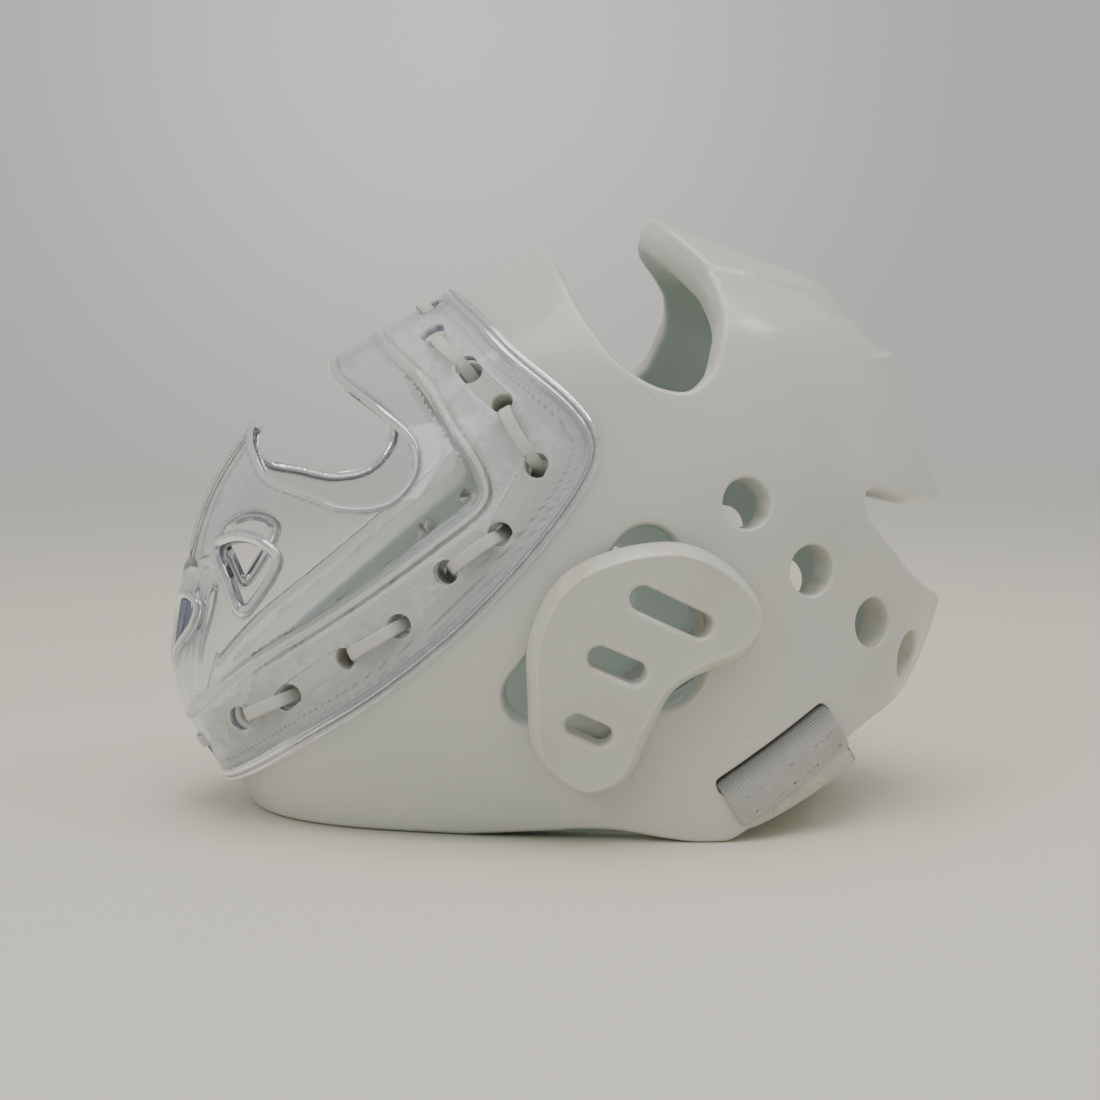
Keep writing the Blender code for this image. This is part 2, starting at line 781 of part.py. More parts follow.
def ear_cover_lift(flat):
    # How far the cover's back stands off the shell: on it at the two seats.
    places = surface(flat)
    lift = np.ones(len(flat))
    for along, up, reach in EAR_COVER_SEATS:
        seat = np.array([along * HALF_LENGTH, up * GUARD_HEIGHT])
        share = np.linalg.norm(places[:, 1:] - seat, axis=1) / (reach * HALF_LENGTH)
        ease = np.clip((share - 0.6) / 1.2, 0, 1)
        lift = np.minimum(lift, ease * ease * (3 - 2 * ease))
    return 3 * CLEARANCE + EAR_COVER_LIFT * lift


def build_ear_cover():
    knots = []
    for angle, reach in EAR_COVER_REACH:
        turn = math.radians(angle)
        y = EAR_COVER_HUB[0] * HALF_LENGTH + math.cos(turn) * reach * HALF_LENGTH
        z = EAR_COVER_HUB[1] * GUARD_HEIGHT + math.sin(turn) * reach * HALF_LENGTH
        knots.append(from_side(y / HALF_LENGTH, z / GUARD_HEIGHT))
    outline = curve_through(knots, EDGE_STEP, closed=True)
    border = inset_loop(outline, EAR_COVER_CHAMFER, True, 1)
    slots = []
    for y0, z0, y1, z1, radius in EAR_COVER_SLOTS:
        ends = [
            (y0 * HALF_LENGTH, z0 * GUARD_HEIGHT, radius * HALF_LENGTH),
            (y1 * HALF_LENGTH, z1 * GUARD_HEIGHT, radius * HALF_LENGTH),
        ]
        slots.append(hull_outline(ends, EDGE_STEP * 0.6))
    cover = panel(
        "ear_cover_left",
        border,
        slots,
        lambda flat: ear_cover_lift(flat) + EAR_COVER_WALL,
        ear_cover_lift,
        COVER_FACET,
        [(border, outline)],
    )
    foam = material("moulded_foam", (0.52, 0.51, 0.47), 0.3)
    cover.data.materials.append(foam)
    twin = mirror_object(cover, "ear_cover_right")
    twin.data.materials.append(foam)


def build_lace():
    # One flat lace, out over the shield and back inside the foam by turns.
    spots = lace_spots()
    outside = SHIELD_GAP + SHIELD_WALL + CLEARANCE + LACE_THICKNESS / 2
    inside = -(FOAM + INNER_CLEARANCE + LACE_THICKNESS / 2)
    ring = np.vstack([spots, (spots * [-1.0, 1.0])[::-1]])
    count = len(ring)
    rows = []
    for i in range(count):
        here, there = ring[i], ring[(i + 1) % count]
        level = inside if i % 2 == 0 else outside
        towards = outside if level == inside else inside
        sign = math.copysign(1.0, level - towards)
        flat_run = np.linspace(0, 1, 5)[:, None]
        run = here + (there - here) * flat_run
        middle = skin(run, level)
        length = np.linalg.norm(middle[-1] - middle[0])
        share = LACE_BEND / length
        stops = (0.0, 0.0, share, 0.5, 1 - share, 1.0, 1.0)
        levels = (level - sign * LACE_BEND * 2.2, level - sign * LACE_BEND, level, level, level)
        levels += (level - sign * LACE_BEND, level - sign * LACE_BEND * 2.2)
        spots_here = np.array([here + (there - here) * stop for stop in stops])
        line = np.array([skin(spot, lev)[0] for spot, lev in zip(spots_here, levels)])
        way = skin(there, 0.0)[0] - skin(here, 0.0)[0]
        side = np.cross(normals(spots_here), way)
        side /= np.linalg.norm(side, axis=1)[:, None]
        rows += [(p - s * LACE_WIDTH / 2, p + s * LACE_WIDTH / 2) for p, s in zip(line, side)]
    lace = ribbon("lace", rows, LACE_THICKNESS, closed=True)
    lace.data.materials.append(material("white_lace", (0.72, 0.72, 0.68), 0.8))


def build_elastic():
    over = CLEARANCE * 2 + ELASTIC_THICKNESS / 2
    under = -(FOAM + INNER_CLEARANCE + ELASTIC_THICKNESS / 2)
    # The run from the sewn end over the foam, down the slot and up inside:
    # across the slot toward the nape, and the offset from the outer surface.
    run = [
        (ELASTIC_FLAP, over),
        (ELASTIC_FLAP * 0.72, over),
        (ELASTIC_FLAP * 0.42, over),
        (SLOT_WIDTH / 2 + ELASTIC_THICKNESS / 2, over),
        (SLOT_WIDTH / 2 - ELASTIC_THICKNESS * 0.9, over - ELASTIC_THICKNESS * 0.4),
        (SLOT_WIDTH / 4, -FOAM * 0.12),
        (0.0, -FOAM * 0.5),
        (-SLOT_WIDTH / 4, -FOAM * 0.9),
        (-SLOT_WIDTH / 2 + ELASTIC_THICKNESS * 0.9, under + ELASTIC_THICKNESS * 0.4),
        (-SLOT_WIDTH / 2 - ELASTIC_THICKNESS / 2, under),
        (-ELASTIC_TAB * 0.6, under),
        (-ELASTIC_TAB, under),
    ]
    rows = []
    for across, offset in run:
        line = [strap_spot(along, across) for along in np.linspace(-0.5, 0.5, 6) * ELASTIC_WIDTH]
        rows.append(skin(np.array(line), offset))
    left = ribbon("elastic_left", rows, ELASTIC_THICKNESS)
    cloth = material("ribbed_elastic", (0.50, 0.49, 0.46), 0.85)
    left.data.materials.append(cloth)
    right = mirror_object(left, "elastic_right")
    right.data.materials.append(cloth)


def build_nape_tape():
    # The tape that joins the two elastics round the nape.
    over = CLEARANCE * 2 + ELASTIC_THICKNESS / 2
    start = ELASTIC_FLAP + CLEARANCE * 5
    line = [strap_spot(along, start) for along in np.linspace(-0.5, 0.5, 6) * ELASTIC_WIDTH]
    ends = skin(np.array(line), over)
    turn = math.radians(STRAP_ANGLE)
    down = np.array([0.0, math.sin(turn), -math.cos(turn)])
    share = np.linspace(0, 1, 6)[:, None]
    rows = []
    stops = (1.0, 0.985, 0.93, 0.82, 0.6, 0.3, 0.0, -0.3, -0.6, -0.82, -0.93, -0.985, -1.0)
    for stop in stops:
        sag = TAPE_SAG * (1 - abs(stop) ** 8) ** 0.5
        reach = 0.12 + 0.88 * share
        place = ends * [stop, 1.0, 1.0] + down * sag * reach
        place[:, 2:] = np.maximum(place[:, 2:], TAPE_THICKNESS * (0.55 + 0.2 * share))
        rows.append(place)
    tape = ribbon("nape_tape", rows, TAPE_THICKNESS)
    tape.data.materials.append(material("loop_tape", (0.55, 0.53, 0.46), 0.95))


def centre_on_box():
    # The origin is put under the middle of the guard's box, on what it stands on.
    things = list(bpy.data.objects)
    places = np.array([tuple(vert.co) for thing in things for vert in thing.data.vertices])
    low, high = places.min(axis=0), places.max(axis=0)
    middle = Vector(((low[0] + high[0]) / 2, (low[1] + high[1]) / 2, low[2]))
    for thing in things:
        for vert in thing.data.vertices:
            vert.co -= middle


def main():
    for thing in list(bpy.data.objects):
        bpy.data.objects.remove(thing, do_unlink=True)
    build_shell()
    build_shield()
    build_ear_cover()
    build_lace()
    build_elastic()
    build_nape_tape()
    centre_on_box()


main()
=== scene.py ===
# A karate head guard: dipped foam shell, laced clear face shield, ear covers
# and an elastic neck strap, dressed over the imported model. Metres, +Z up.

import math

import bmesh
import bpy
import numpy as np
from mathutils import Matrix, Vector, kdtree
from mathutils.geometry import delaunay_2d_cdt


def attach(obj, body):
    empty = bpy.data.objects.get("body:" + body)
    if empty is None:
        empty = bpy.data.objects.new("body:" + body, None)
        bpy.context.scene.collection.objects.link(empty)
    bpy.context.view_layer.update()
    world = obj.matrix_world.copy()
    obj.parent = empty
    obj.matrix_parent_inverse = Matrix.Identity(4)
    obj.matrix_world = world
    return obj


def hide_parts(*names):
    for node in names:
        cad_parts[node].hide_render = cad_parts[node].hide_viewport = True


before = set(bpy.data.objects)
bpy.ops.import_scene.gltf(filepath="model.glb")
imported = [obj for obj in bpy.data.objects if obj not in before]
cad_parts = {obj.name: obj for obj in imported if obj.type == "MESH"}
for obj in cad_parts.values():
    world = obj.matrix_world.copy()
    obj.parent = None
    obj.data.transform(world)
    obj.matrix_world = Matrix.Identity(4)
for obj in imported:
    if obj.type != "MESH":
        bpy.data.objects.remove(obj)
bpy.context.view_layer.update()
print("loaded the packed model")

# The guard's outer surface, by horizontal sections, as the solids have it.
guard = {
    "length": 0.300,
    "width": 0.184,
    "height": 0.229,
    "shift": 0.000715,  # the solids stand this much further back
    "near": 0.7,
    "chartRadius": 0.667,  # of the half length
    "chartFall": 1.75,  # of the height
    "sections": (
        # height, front, back, near front, middle, near back
        (-0.109, -0.724, 0.609, 0.5, 0.826, 0.913), (0.0, -0.822, 0.716, 0.565, 0.875, 0.946),
        (0.061, -0.874, 0.782, 0.587, 0.908, 0.924), (0.175, -0.971, 0.896, 0.62, 0.957, 0.859),
        (0.349, -0.969, 1.009, 0.652, 0.989, 0.75), (0.546, -0.891, 1.006, 0.63, 0.962, 0.717),
        (0.655, -0.771, 0.952, 0.598, 0.908, 0.658), (0.755, -0.578, 0.889, 0.554, 0.826, 0.565),
        (0.83, -0.374, 0.806, 0.5, 0.728, 0.478), (0.895, -0.204, 0.642, 0.413, 0.592, 0.391),
        (0.951, -0.044, 0.436, 0.293, 0.435, 0.283), (0.985, 0.053, 0.312, 0.217, 0.315, 0.207),
        (1.009, 0.097, 0.229, 0.141, 0.207, 0.141), (1.031, 0.16, 0.16, 0.0, 0.0, 0.0),
    ),
}
halfLength = guard["length"] / 2
halfWidth = guard["width"] / 2
height = guard["height"]
crownHeight = guard["sections"][-1][0] * height
chartRadius = halfLength * guard["chartRadius"]
chartFall = height * guard["chartFall"]
nudge = 1e-5
knotCuts = 17
fullTurn = 6.283
onPlane = 1e-6
seamCuts = 65
hullTurns = 145
hullCuts = 5
capTurns = 13
untangleRounds = 120
rowShare = 0.87  # of the spacing, from one row of inner points to the next
clearShare = 0.55  # of the spacing, kept free beside the outlines


def sectionTables():
    crown = guard["sections"][-1][0]
    rows = sorted(guard["sections"], reverse=True)
    depth = np.array([math.sqrt(1 - row[0] / crown) for row in rows])
    lengths = np.array([[row[1], row[2]] for row in rows]) * halfLength
    widths = np.array([row[3:] for row in rows]) * halfWidth
    return depth, np.hstack([lengths, widths])


depths, sectionValues = sectionTables()


def sectionAt(depth):
    # A smooth curve through the table's rows, by cubic pieces.
    gaps = np.diff(depths)
    steps = np.diff(sectionValues, axis=0) / gaps[:, None]
    slopes = np.zeros_like(sectionValues)
    before, after = gaps[:-1, None], gaps[1:, None]
    slopes[1:-1] = (steps[:-1] * after + steps[1:] * before) / (before + after)
    slopes[0] = 2 * steps[0] - slopes[1]
    slopes[-1] = 2 * steps[-1] - slopes[-2]
    index = np.clip(np.searchsorted(depths, depth, side="right") - 1, 0, len(gaps) - 1)
    gap = gaps[index][:, None]
    t = ((depth - depths[index]) / gaps[index])[:, None]
    start, end = sectionValues[index], sectionValues[index + 1]
    return (
        (2 * t**3 - 3 * t**2 + 1) * start
        + (t**3 - 2 * t**2 + t) * gap * slopes[index]
        + (3 * t**2 - 2 * t**3) * end
        + (t**3 - t**2) * gap * slopes[index + 1]
    )


def surface(chart):
    # The outer surface at points of its flat chart: an angle and a fall.
    chart = np.atleast_2d(chart)
    angle = chart[:, 0] / chartRadius
    depth = -chart[:, 1] / chartFall
    front, back, nearFront, middle, nearBack = sectionAt(depth).T
    near = guard["near"]
    lean = math.sqrt(1 - near**2)
    nearFront = nearFront / lean
    nearBack = nearBack / lean
    tilt = (nearFront - nearBack) / (2 * near)
    bow = (nearFront + nearBack - 2 * middle) / (2 * near**2)
    cosine, sine = np.cos(angle), np.sin(angle)
    x = (middle + tilt * cosine + bow * cosine**2) * sine
    y = (front + back) / 2 - (back - front) / 2 * cosine + guard["shift"]
    z = crownHeight * (1 - depth**2)
    return np.stack([x, y, z], axis=1)


def surfaceSlopes(chart):
    across = surface(chart + [nudge, 0]) - surface(chart - [nudge, 0])
    up = surface(chart + [0, nudge]) - surface(chart - [0, nudge])
    return across / (2 * nudge), up / (2 * nudge)


def unit(vectors):
    return vectors / np.linalg.norm(vectors, axis=-1, keepdims=True)


def normals(chart):
    across, up = surfaceSlopes(np.atleast_2d(chart))
    return unit(np.cross(across, up))


def skin(chart, offset):
    chart = np.atleast_2d(chart)
    return surface(chart) + normals(chart) * np.broadcast_to(offset, len(chart))[:, None]


def fall(level):
    return -chartFall * np.sqrt(np.clip(1 - np.asarray(level) / crownHeight, 0, None))


def fromSide(along, up):
    # The chart point seen from the side at a share of the length and height.
    level = fall(up * height)
    front, back = sectionAt(np.array([-level / chartFall]))[0][:2]
    cosine = ((front + back) / 2 - along * halfLength) / ((back - front) / 2)
    return np.array([math.acos(max(-1.0, min(1.0, cosine))) * chartRadius, level])


def fromFront(across, level):
    point = np.array([[0.0, fall(level)]])
    for _ in range(6):
        slope = surfaceSlopes(point)[0][0][0]
        point[0, 0] += (across - surface(point)[0][0]) / slope
    return point[0]


def settle(points, start, rounds=4):
    # The chart points whose places on the surface lie nearest the given points.
    chart = np.array(start, dtype=float)
    for _ in range(rounds):
        across, up = surfaceSlopes(chart)
        miss = points - surface(chart)
        aa = (across * across).sum(1)
        uu = (up * up).sum(1)
        au = (across * up).sum(1)
        ma = (miss * across).sum(1)
        mu = (miss * up).sum(1)
        scale = aa * uu - au * au
        chart += np.stack([(ma * uu - mu * au) / scale, (mu * aa - ma * au) / scale], axis=1)
    return chart


def throughKnots(knots, fineness, first=None, last=None, closed=False):
    # A smooth curve through knots of any dimension, finely cut.
    knots = np.array(knots, dtype=float)
    if closed:
        first, last = knots[-1], knots[1]
        knots = np.vstack([knots, knots[:1]])
    if first is None:
        first = knots[0] * 2 - knots[1]
    if last is None:
        last = knots[-1] * 2 - knots[-2]
    line = np.vstack([[first], knots, [last]])
    spans = np.maximum(np.linalg.norm(np.diff(line, axis=0), axis=1), 1e-6) ** 0.5
    times = np.concatenate([[0], np.cumsum(spans)])
    fine = []
    for i in range(1, len(line) - 2):
        t0, t1, t2, t3 = times[i - 1 : i + 3]
        p0, p1, p2, p3 = line[i - 1 : i + 3]
        t = np.linspace(t1, t2, fineness + 1)[:-1, None]
        a1 = ((t1 - t) * p0 + (t - t0) * p1) / (t1 - t0)
        a2 = ((t2 - t) * p1 + (t - t1) * p2) / (t2 - t1)
        a3 = ((t3 - t) * p2 + (t - t2) * p3) / (t3 - t2)
        b1 = ((t2 - t) * a1 + (t - t0) * a2) / (t2 - t0)
        b2 = ((t3 - t) * a2 + (t - t1) * a3) / (t3 - t1)
        fine.append(((t2 - t) * b1 + (t - t1) * b2) / (t2 - t1))
    return np.vstack(fine + [line[-2:-1]])


def evenSteps(fine, step, closed=False, places=None):
    places = surface(fine) if places is None else places
    lengths = np.concatenate([[0], np.cumsum(np.linalg.norm(np.diff(places, axis=0), axis=1))])
    count = max(3 if closed else 1, round(lengths[-1] / step))
    marks = np.linspace(0, lengths[-1], count + 1)
    points = np.stack([np.interp(marks, lengths, column) for column in fine.T], axis=1)
    return points[:-1] if closed else points


def rimLine(table, sides, step):
    # An outline from its table of shares, met squarely on the middle plane.
    knots = np.array([fromSide(along, up) for along, up in table])
    for index, side in zip((0, -1), sides):
        if side is not None:
            knots[index][0] = side * math.pi * chartRadius
    first = [2 * knots[0][0] - knots[1][0], knots[1][1]] if sides[0] is not None else None
    last = [2 * knots[-1][0] - knots[-2][0], knots[-2][1]] if sides[1] is not None else None
    return evenSteps(throughKnots(knots, knotCuts, first, last), step)


def seamLine(side, startHeight, endHeight, step):
    levels = np.linspace(fall(startHeight), fall(endHeight), seamCuts)
    fine = np.stack([np.full(seamCuts, side * math.pi * chartRadius), levels], axis=1)
    return evenSteps(fine, step)


def closedBorder(rims, sides, spacing):
    # The loop through the rims' inner lines, joined along the middle plane.
    insets = [edge["inset"] for edge in rims]
    ends = [surface(line[[0, -1]])[:, 2] for line in insets]
    parts = []
    for i, side in enumerate(sides):
        after = ends[(i + 1) % len(sides)][0]
        parts += [insets[i][:-1], seamLine(side, ends[i][1], after, spacing)[:-1]]
    return np.vstack(parts)


def hullLine(corners, step):
    # The line round a group of circles in the side view, as chart points.
    spots = []
    for angle in np.linspace(0, 2 * math.pi, hullTurns)[:-1]:
        way = np.array([math.cos(angle), math.sin(angle)])
        reach = [y * way[0] + z * way[1] + r for y, z, r in corners]
        y, z, r = corners[int(np.argmax(reach))]
        spots.append(np.array([y, z]) + way * r)
    fine = []
    for spot, after in zip(spots, spots[1:] + spots[:1]):
        for share in np.linspace(0, 1, hullCuts)[:-1]:
            along, up = spot + (after - spot) * share
            fine.append(fromSide(along / halfLength, up / height))
    return evenSteps(np.array(fine + fine[:1]), step, True)


def roundLine(centre, diameter, count):
    centre = np.array([centre])
    across = unit(surfaceSlopes(centre)[0])[0]
    up = np.cross(normals(centre)[0], across)
    angles = np.arange(count) * 2 * math.pi / count
    ring = surface(centre) + diameter / 2 * (
        np.cos(angles)[:, None] * across + np.sin(angles)[:, None] * up
    )
    return settle(ring, np.repeat(centre, count, axis=0))


def capsuleLine(start, end, radius, step):
    # A slot's outline on the surface, from one chart point to another.
    ends = surface(np.array([start, end]))
    way = unit(ends[1] - ends[0])
    middle = (np.array(start) + np.array(end)) / 2
    side = np.cross(normals(middle)[0], way)
    turns = np.linspace(-math.pi / 2, math.pi / 2, capTurns)
    cap = [(math.cos(t), math.sin(t)) for t in turns]
    fine = [ends[1] + radius * (c * way + s * side) for c, s in cap]
    fine += [ends[0] - radius * (c * way + s * side) for c, s in cap]
    fine = np.array(fine + fine[:1])
    near = np.array([end] * capTurns + [start] * capTurns + [end])
    return evenSteps(settle(fine, near), step, True)


def isInside(points, loop):
    inside = np.zeros(len(points), dtype=bool)
    for (x0, y0), (x1, y1) in zip(loop, np.roll(loop, -1, axis=0)):
        if y0 == y1:
            continue
        level = (points[:, 1] > min(y0, y1)) & (points[:, 1] <= max(y0, y1))
        cross = x0 + (points[:, 1] - y0) * (x1 - x0) / (y1 - y0)
        inside ^= level & (points[:, 0] < cross)
    return inside


def relaxed(loop, moved, closed):
    # The moved loop with its folds in tight corners smoothed away.
    for _ in range(untangleRounds):
        steps = np.roll(loop, -1, axis=0) - loop
        after = np.roll(moved, -1, axis=0) - moved
        folded = (steps * after).sum(1) < 0.25 * (steps * steps).sum(1)
        if not closed:
            folded[-1] = False
        if not folded.any():
            break
        for _ in range(2):
            folded |= np.roll(folded, 1) | np.roll(folded, -1)
        if not closed:
            folded[[0, -1]] = False
        middle = (np.roll(moved, 1, axis=0) + np.roll(moved, -1, axis=0)) / 2
        moved[folded] = (moved[folded] + middle[folded]) / 2
    return moved


def insetLine(loop, distance, closed, toward):
    # The loop moved sideways along the surface, into the material.
    places = surface(loop)
    if closed:
        way = np.roll(places, -1, axis=0) - np.roll(places, 1, axis=0)
    else:
        way = np.gradient(places, axis=0)
        way[[0, -1]] = [1.0, 0.0, 0.0]
        way[[0, -1]] *= np.sign(places[[1, -1]] - places[[0, -2]])[:, :1]
    sideways = unit(np.cross(normals(loop), way))
    moved = settle(places + sideways * distance * toward, loop)
    if not closed:
        moved[[0, -1], 0] = loop[[0, -1], 0]
    return relaxed(loop, moved, closed)


def nearness(points, lines):
    # How far each point lies from the nearest of the lines' points.
    tree = kdtree.KDTree(len(lines))
    for index, point in enumerate(lines):
        tree.insert(tuple(point) + (0.0,) * (3 - len(point)), index)
    tree.balance()
    pad = (0.0,) * (3 - points.shape[1])
    return np.array([tree.find(tuple(point) + pad)[2] for point in points])


def fillChart(border, holes, spacing, lines=()):
    # Triangles over a region of the chart, with its loops kept as they are.
    edges, points = [], []
    for loop, closed in [(loop, True) for loop in [border, *holes]] + [(l, False) for l in lines]:
        first = len(points)
        points += [tuple(point) for point in loop]
        last = len(loop) if closed else len(loop) - 1
        edges += [(first + i, first + (i + 1) % len(loop)) for i in range(last)]
    low, high = border.min(axis=0), border.max(axis=0)
    grid = []
    for index, level in enumerate(np.arange(low[1], high[1], spacing * rowShare)):
        start = low[0] + spacing * (0.5 if index % 2 else 0.0)
        grid += [(a, level) for a in np.arange(start, high[0], spacing)]
    grid = np.array(grid)
    keep = isInside(grid, border)
    for hole in holes:
        keep &= ~isInside(grid, hole)
    grid = grid[keep]
    grid = grid[nearness(grid, np.array(points)) > spacing * clearShare]
    everything = [Vector(point) for point in points] + [Vector(point) for point in grid]
    verts, _, faces, _, _, _ = delaunay_2d_cdt(everything, edges, [], 1, 1e-8)
    flat = np.array([tuple(vert) for vert in verts])
    faces = np.array([tuple(face) for face in faces])
    middles = flat[faces].mean(axis=1)
    keep = isInside(middles, border)
    for hole in holes:
        keep &= ~isInside(middles, hole)
    faces = faces[keep]
    a, b, c = (flat[faces[:, k]] for k in range(3))
    turn = (b[:, 0] - a[:, 0]) * (c[:, 1] - a[:, 1]) - (b[:, 1] - a[:, 1]) * (c[:, 0] - a[:, 0])
    faces[turn < 0] = faces[turn < 0][:, ::-1]
    return flat, faces[np.abs(turn) > 1e-16]


def rimProfile(rim, thickness):
    # Steps round a rim: how far into the material, and the share of depth.
    if "profile" in rim:
        return rim["profile"]
    wide, deep = rim.get("wide", rim["round"]), rim["round"]
    steps = []
    for turn in np.linspace(0, math.pi / 2, rim.get("turns", 5))[1:]:
        steps.append((wide * (1 - math.sin(turn)), deep * (1 - math.cos(turn)) / thickness))
    count = rim.get("walls", 3)
    top, bottom = deep / thickness, 1 - deep / thickness
    for k in range(1, count):
        share = k / count
        bulge = rim.get("bulge", 0.0) * math.sin(math.pi * share)
        steps.append((-bulge, top + (bottom - top) * share))
    for turn in np.linspace(math.pi / 2, 0, rim.get("turns", 5)):
        steps.append((deep * (1 - math.sin(turn)), 1 - deep * (1 - math.cos(turn)) / thickness))
    return steps if deep < wide - 1e-6 else steps[:-1]


def padBody(border, openRims, closedRims, thickness, spacing, place, lines=()):
    # A closed body over a region: its two skins and the rounded rims between
    # them. place gives the points at a chart point and a share of the depth.
    holes = [rim["inset"] for rim in closedRims if not rim.get("outer")]
    flat, faces = fillChart(border, holes, spacing, lines)
    size = len(flat)
    tree = kdtree.KDTree(size)
    for index, point in enumerate(flat):
        tree.insert((point[0], point[1], 0.0), index)
    tree.balance()
    charts, shares = [flat, flat], [np.zeros(size), np.ones(size)]
    rimMask = [np.zeros(size), np.zeros(size)]
    polygons = [tuple(face) for face in faces]
    polygons += [tuple(face[::-1] + size) for face in faces]
    directed = {(face[i], face[(i + 1) % 3]) for face in faces.tolist() for i in range(3)}
    total = 2 * size
    for index, rim in enumerate([*openRims, *closedRims]):
        line, inset = rim["line"], rim["inset"]
        closed = index >= len(openRims)
        wide = rim.get("wide", rim["round"])
        top = [tree.find((spot[0], spot[1], 0.0))[1] for spot in inset]
        rows = [top]
        for distance, share in rimProfile(rim, thickness):
            charts.append(line + (inset - line) * (distance / wide))
            shares.append(np.full(len(line), share))
            rimMask.append(np.full(len(line), 1.0))
            rows.append(list(range(total, total + len(line))))
            total += len(line)
        rows.append([index + size for index in top])
        if (top[0], top[1]) not in directed:
            rows = [row[::-1] for row in rows]
        count = len(line) if closed else len(line) - 1
        for upper, lower in zip(rows[:-1], rows[1:]):
            for i in range(count):
                k = (i + 1) % len(line)
                polygons.append((upper[k], upper[i], lower[i], lower[k]))
    chart, share = np.vstack(charts), np.concatenate(shares)
    return chart, place(chart, share), polygons, share, np.concatenate(rimMask)


def mirrored(chart, places, polygons, *fields):
    # The other half, joined on the middle plane.
    fromBack = np.abs(chart[:, 0] - math.pi * chartRadius)
    onSeam = (np.abs(chart[:, 0]) < onPlane) | (fromBack < onPlane)
    places[onSeam, 0] = 0.0
    twin = np.arange(len(places))
    free = np.flatnonzero(~onSeam)
    twin[free] = len(places) + np.arange(len(free))
    polygons = polygons + [tuple(int(twin[i]) for i in face[::-1]) for face in polygons]
    places = np.vstack([places, places[free] * [-1.0, 1.0, 1.0]])
    return (places, polygons, *[np.concatenate([field, field[free]]) for field in fields])


def added(name, data):
    thing = bpy.data.objects.new(name, data)
    bpy.context.scene.collection.objects.link(thing)
    return thing


def worn(name, mesh, slot):
    # A smooth piece of the guard.
    mesh.shade_smooth()
    piece = added(name, mesh)
    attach(piece, "root")
    return piece


def makePiece(name, places, polygons, finish, slot, **fields):
    # A mesh object with its vertex fields, that rides on the guard.
    mesh = bpy.data.meshes.new(name)
    mesh.from_pydata([tuple(p) for p in places], [], [tuple(map(int, f)) for f in polygons])
    for field, values in fields.items():
        layer = mesh.attributes.new(field, "FLOAT", "POINT")
        layer.data.foreach_set("value", np.asarray(values, dtype=np.float32))
    mesh.materials.append(finish)
    return worn(name, mesh, slot)


def mirrorPiece(piece, name, finish, slot, *fields):
    mesh = piece.data
    places = np.array([tuple(vert.co) for vert in mesh.vertices]) * [-1.0, 1.0, 1.0]
    polygons = [tuple(face.vertices)[::-1] for face in mesh.polygons]
    values = {}
    for field in fields:
        layer = mesh.attributes[field]
        values[field] = [item.value for item in layer.data]
    return makePiece(name, places, polygons, finish, slot, **values)


class Wire:
    # A socket's value in a shader, on which sums are written plainly.
    def __init__(self, shop, socket):
        self.shop, self.socket = shop, socket

    def sum(self, operation, left, right):
        return self.shop.node("ShaderNodeMath", {"operation": operation}, {0: left, 1: right})

    def __add__(self, other):
        return self.sum("ADD", self, other)

    def __radd__(self, other):
        return self.sum("ADD", other, self)

    def __sub__(self, other):
        return self.sum("SUBTRACT", self, other)

    def __rsub__(self, other):
        return self.sum("SUBTRACT", other, self)

    def __mul__(self, other):
        return self.sum("MULTIPLY", self, other)

    def __rmul__(self, other):
        return self.sum("MULTIPLY", other, self)

    def above(self, other):
        return self.sum("GREATER_THAN", self, other)

    def clamp(self):
        return self.shop.node("ShaderNodeClamp", {}, {0: self})


class Finish:
    # A material under construction.
    def __init__(self, name):
        self.material = bpy.data.materials.new(name)
        self.material.use_nodes = True
        self.tree = self.material.node_tree
        self.shader = self.tree.nodes["Principled BSDF"]
        self.place = self.node("ShaderNodeTexCoord", {}, {}, "Object")

    def feed(self, socket, value):
        if isinstance(value, Wire):
            self.tree.links.new(value.socket, socket)
        else:
            socket.default_value = value

    def node(self, kind, settings, sockets, output=0):
        made = self.tree.nodes.new(kind)
        for key, value in settings.items():
            setattr(made, key, value)
        for key, value in sockets.items():
            self.feed(made.inputs[key], value)
        return Wire(self, made.outputs[output])

    def noise(self, scale, detail=3.0, roughness=0.5):
        sockets = {"Vector": self.place, "Scale": scale, "Detail": detail, "Roughness": roughness}
        return self.node("ShaderNodeTexNoise", {}, sockets, "Fac")

    def cells(self, scale, output="Distance"):
        sockets = {"Vector": self.place, "Scale": scale}
        return self.node("ShaderNodeTexVoronoi", {}, sockets, output)

    def waves(self, value):
        return self.node("ShaderNodeMath", {"operation": "SINE"}, {0: value})

    def ramp(self, value, low, high):
        sockets = {"Value": value, "From Min": low, "From Max": high}
        return self.node("ShaderNodeMapRange", {"interpolation_type": "SMOOTHSTEP"}, sockets)

    def mix(self, amount, first, second):
        sockets = {"Factor": amount, 6: first, 7: second}
        return self.node("ShaderNodeMix", {"data_type": "RGBA"}, sockets, 2)

    def laid(self, tone, amount, paint, share):
        return self.mix(amount * share, tone, paint)

    def field(self, name):
        return self.node("ShaderNodeAttribute", {"attribute_name": name}, {}, "Fac")

    def bump(self, height, strength, distance, below=None):
        sockets = {"Height": height, "Strength": strength, "Distance": distance}
        if below is not None:
            sockets["Normal"] = below
        return self.node("ShaderNodeBump", {}, sockets, "Normal")

    def paint(self, **sockets):
        for key, value in sockets.items():
            self.feed(self.shader.inputs[key.replace("_", " ")], value)
        return self.material


def colour(red, green, blue):
    return (red, green, blue, 1.0)


print("made the tools")

# Finishes.

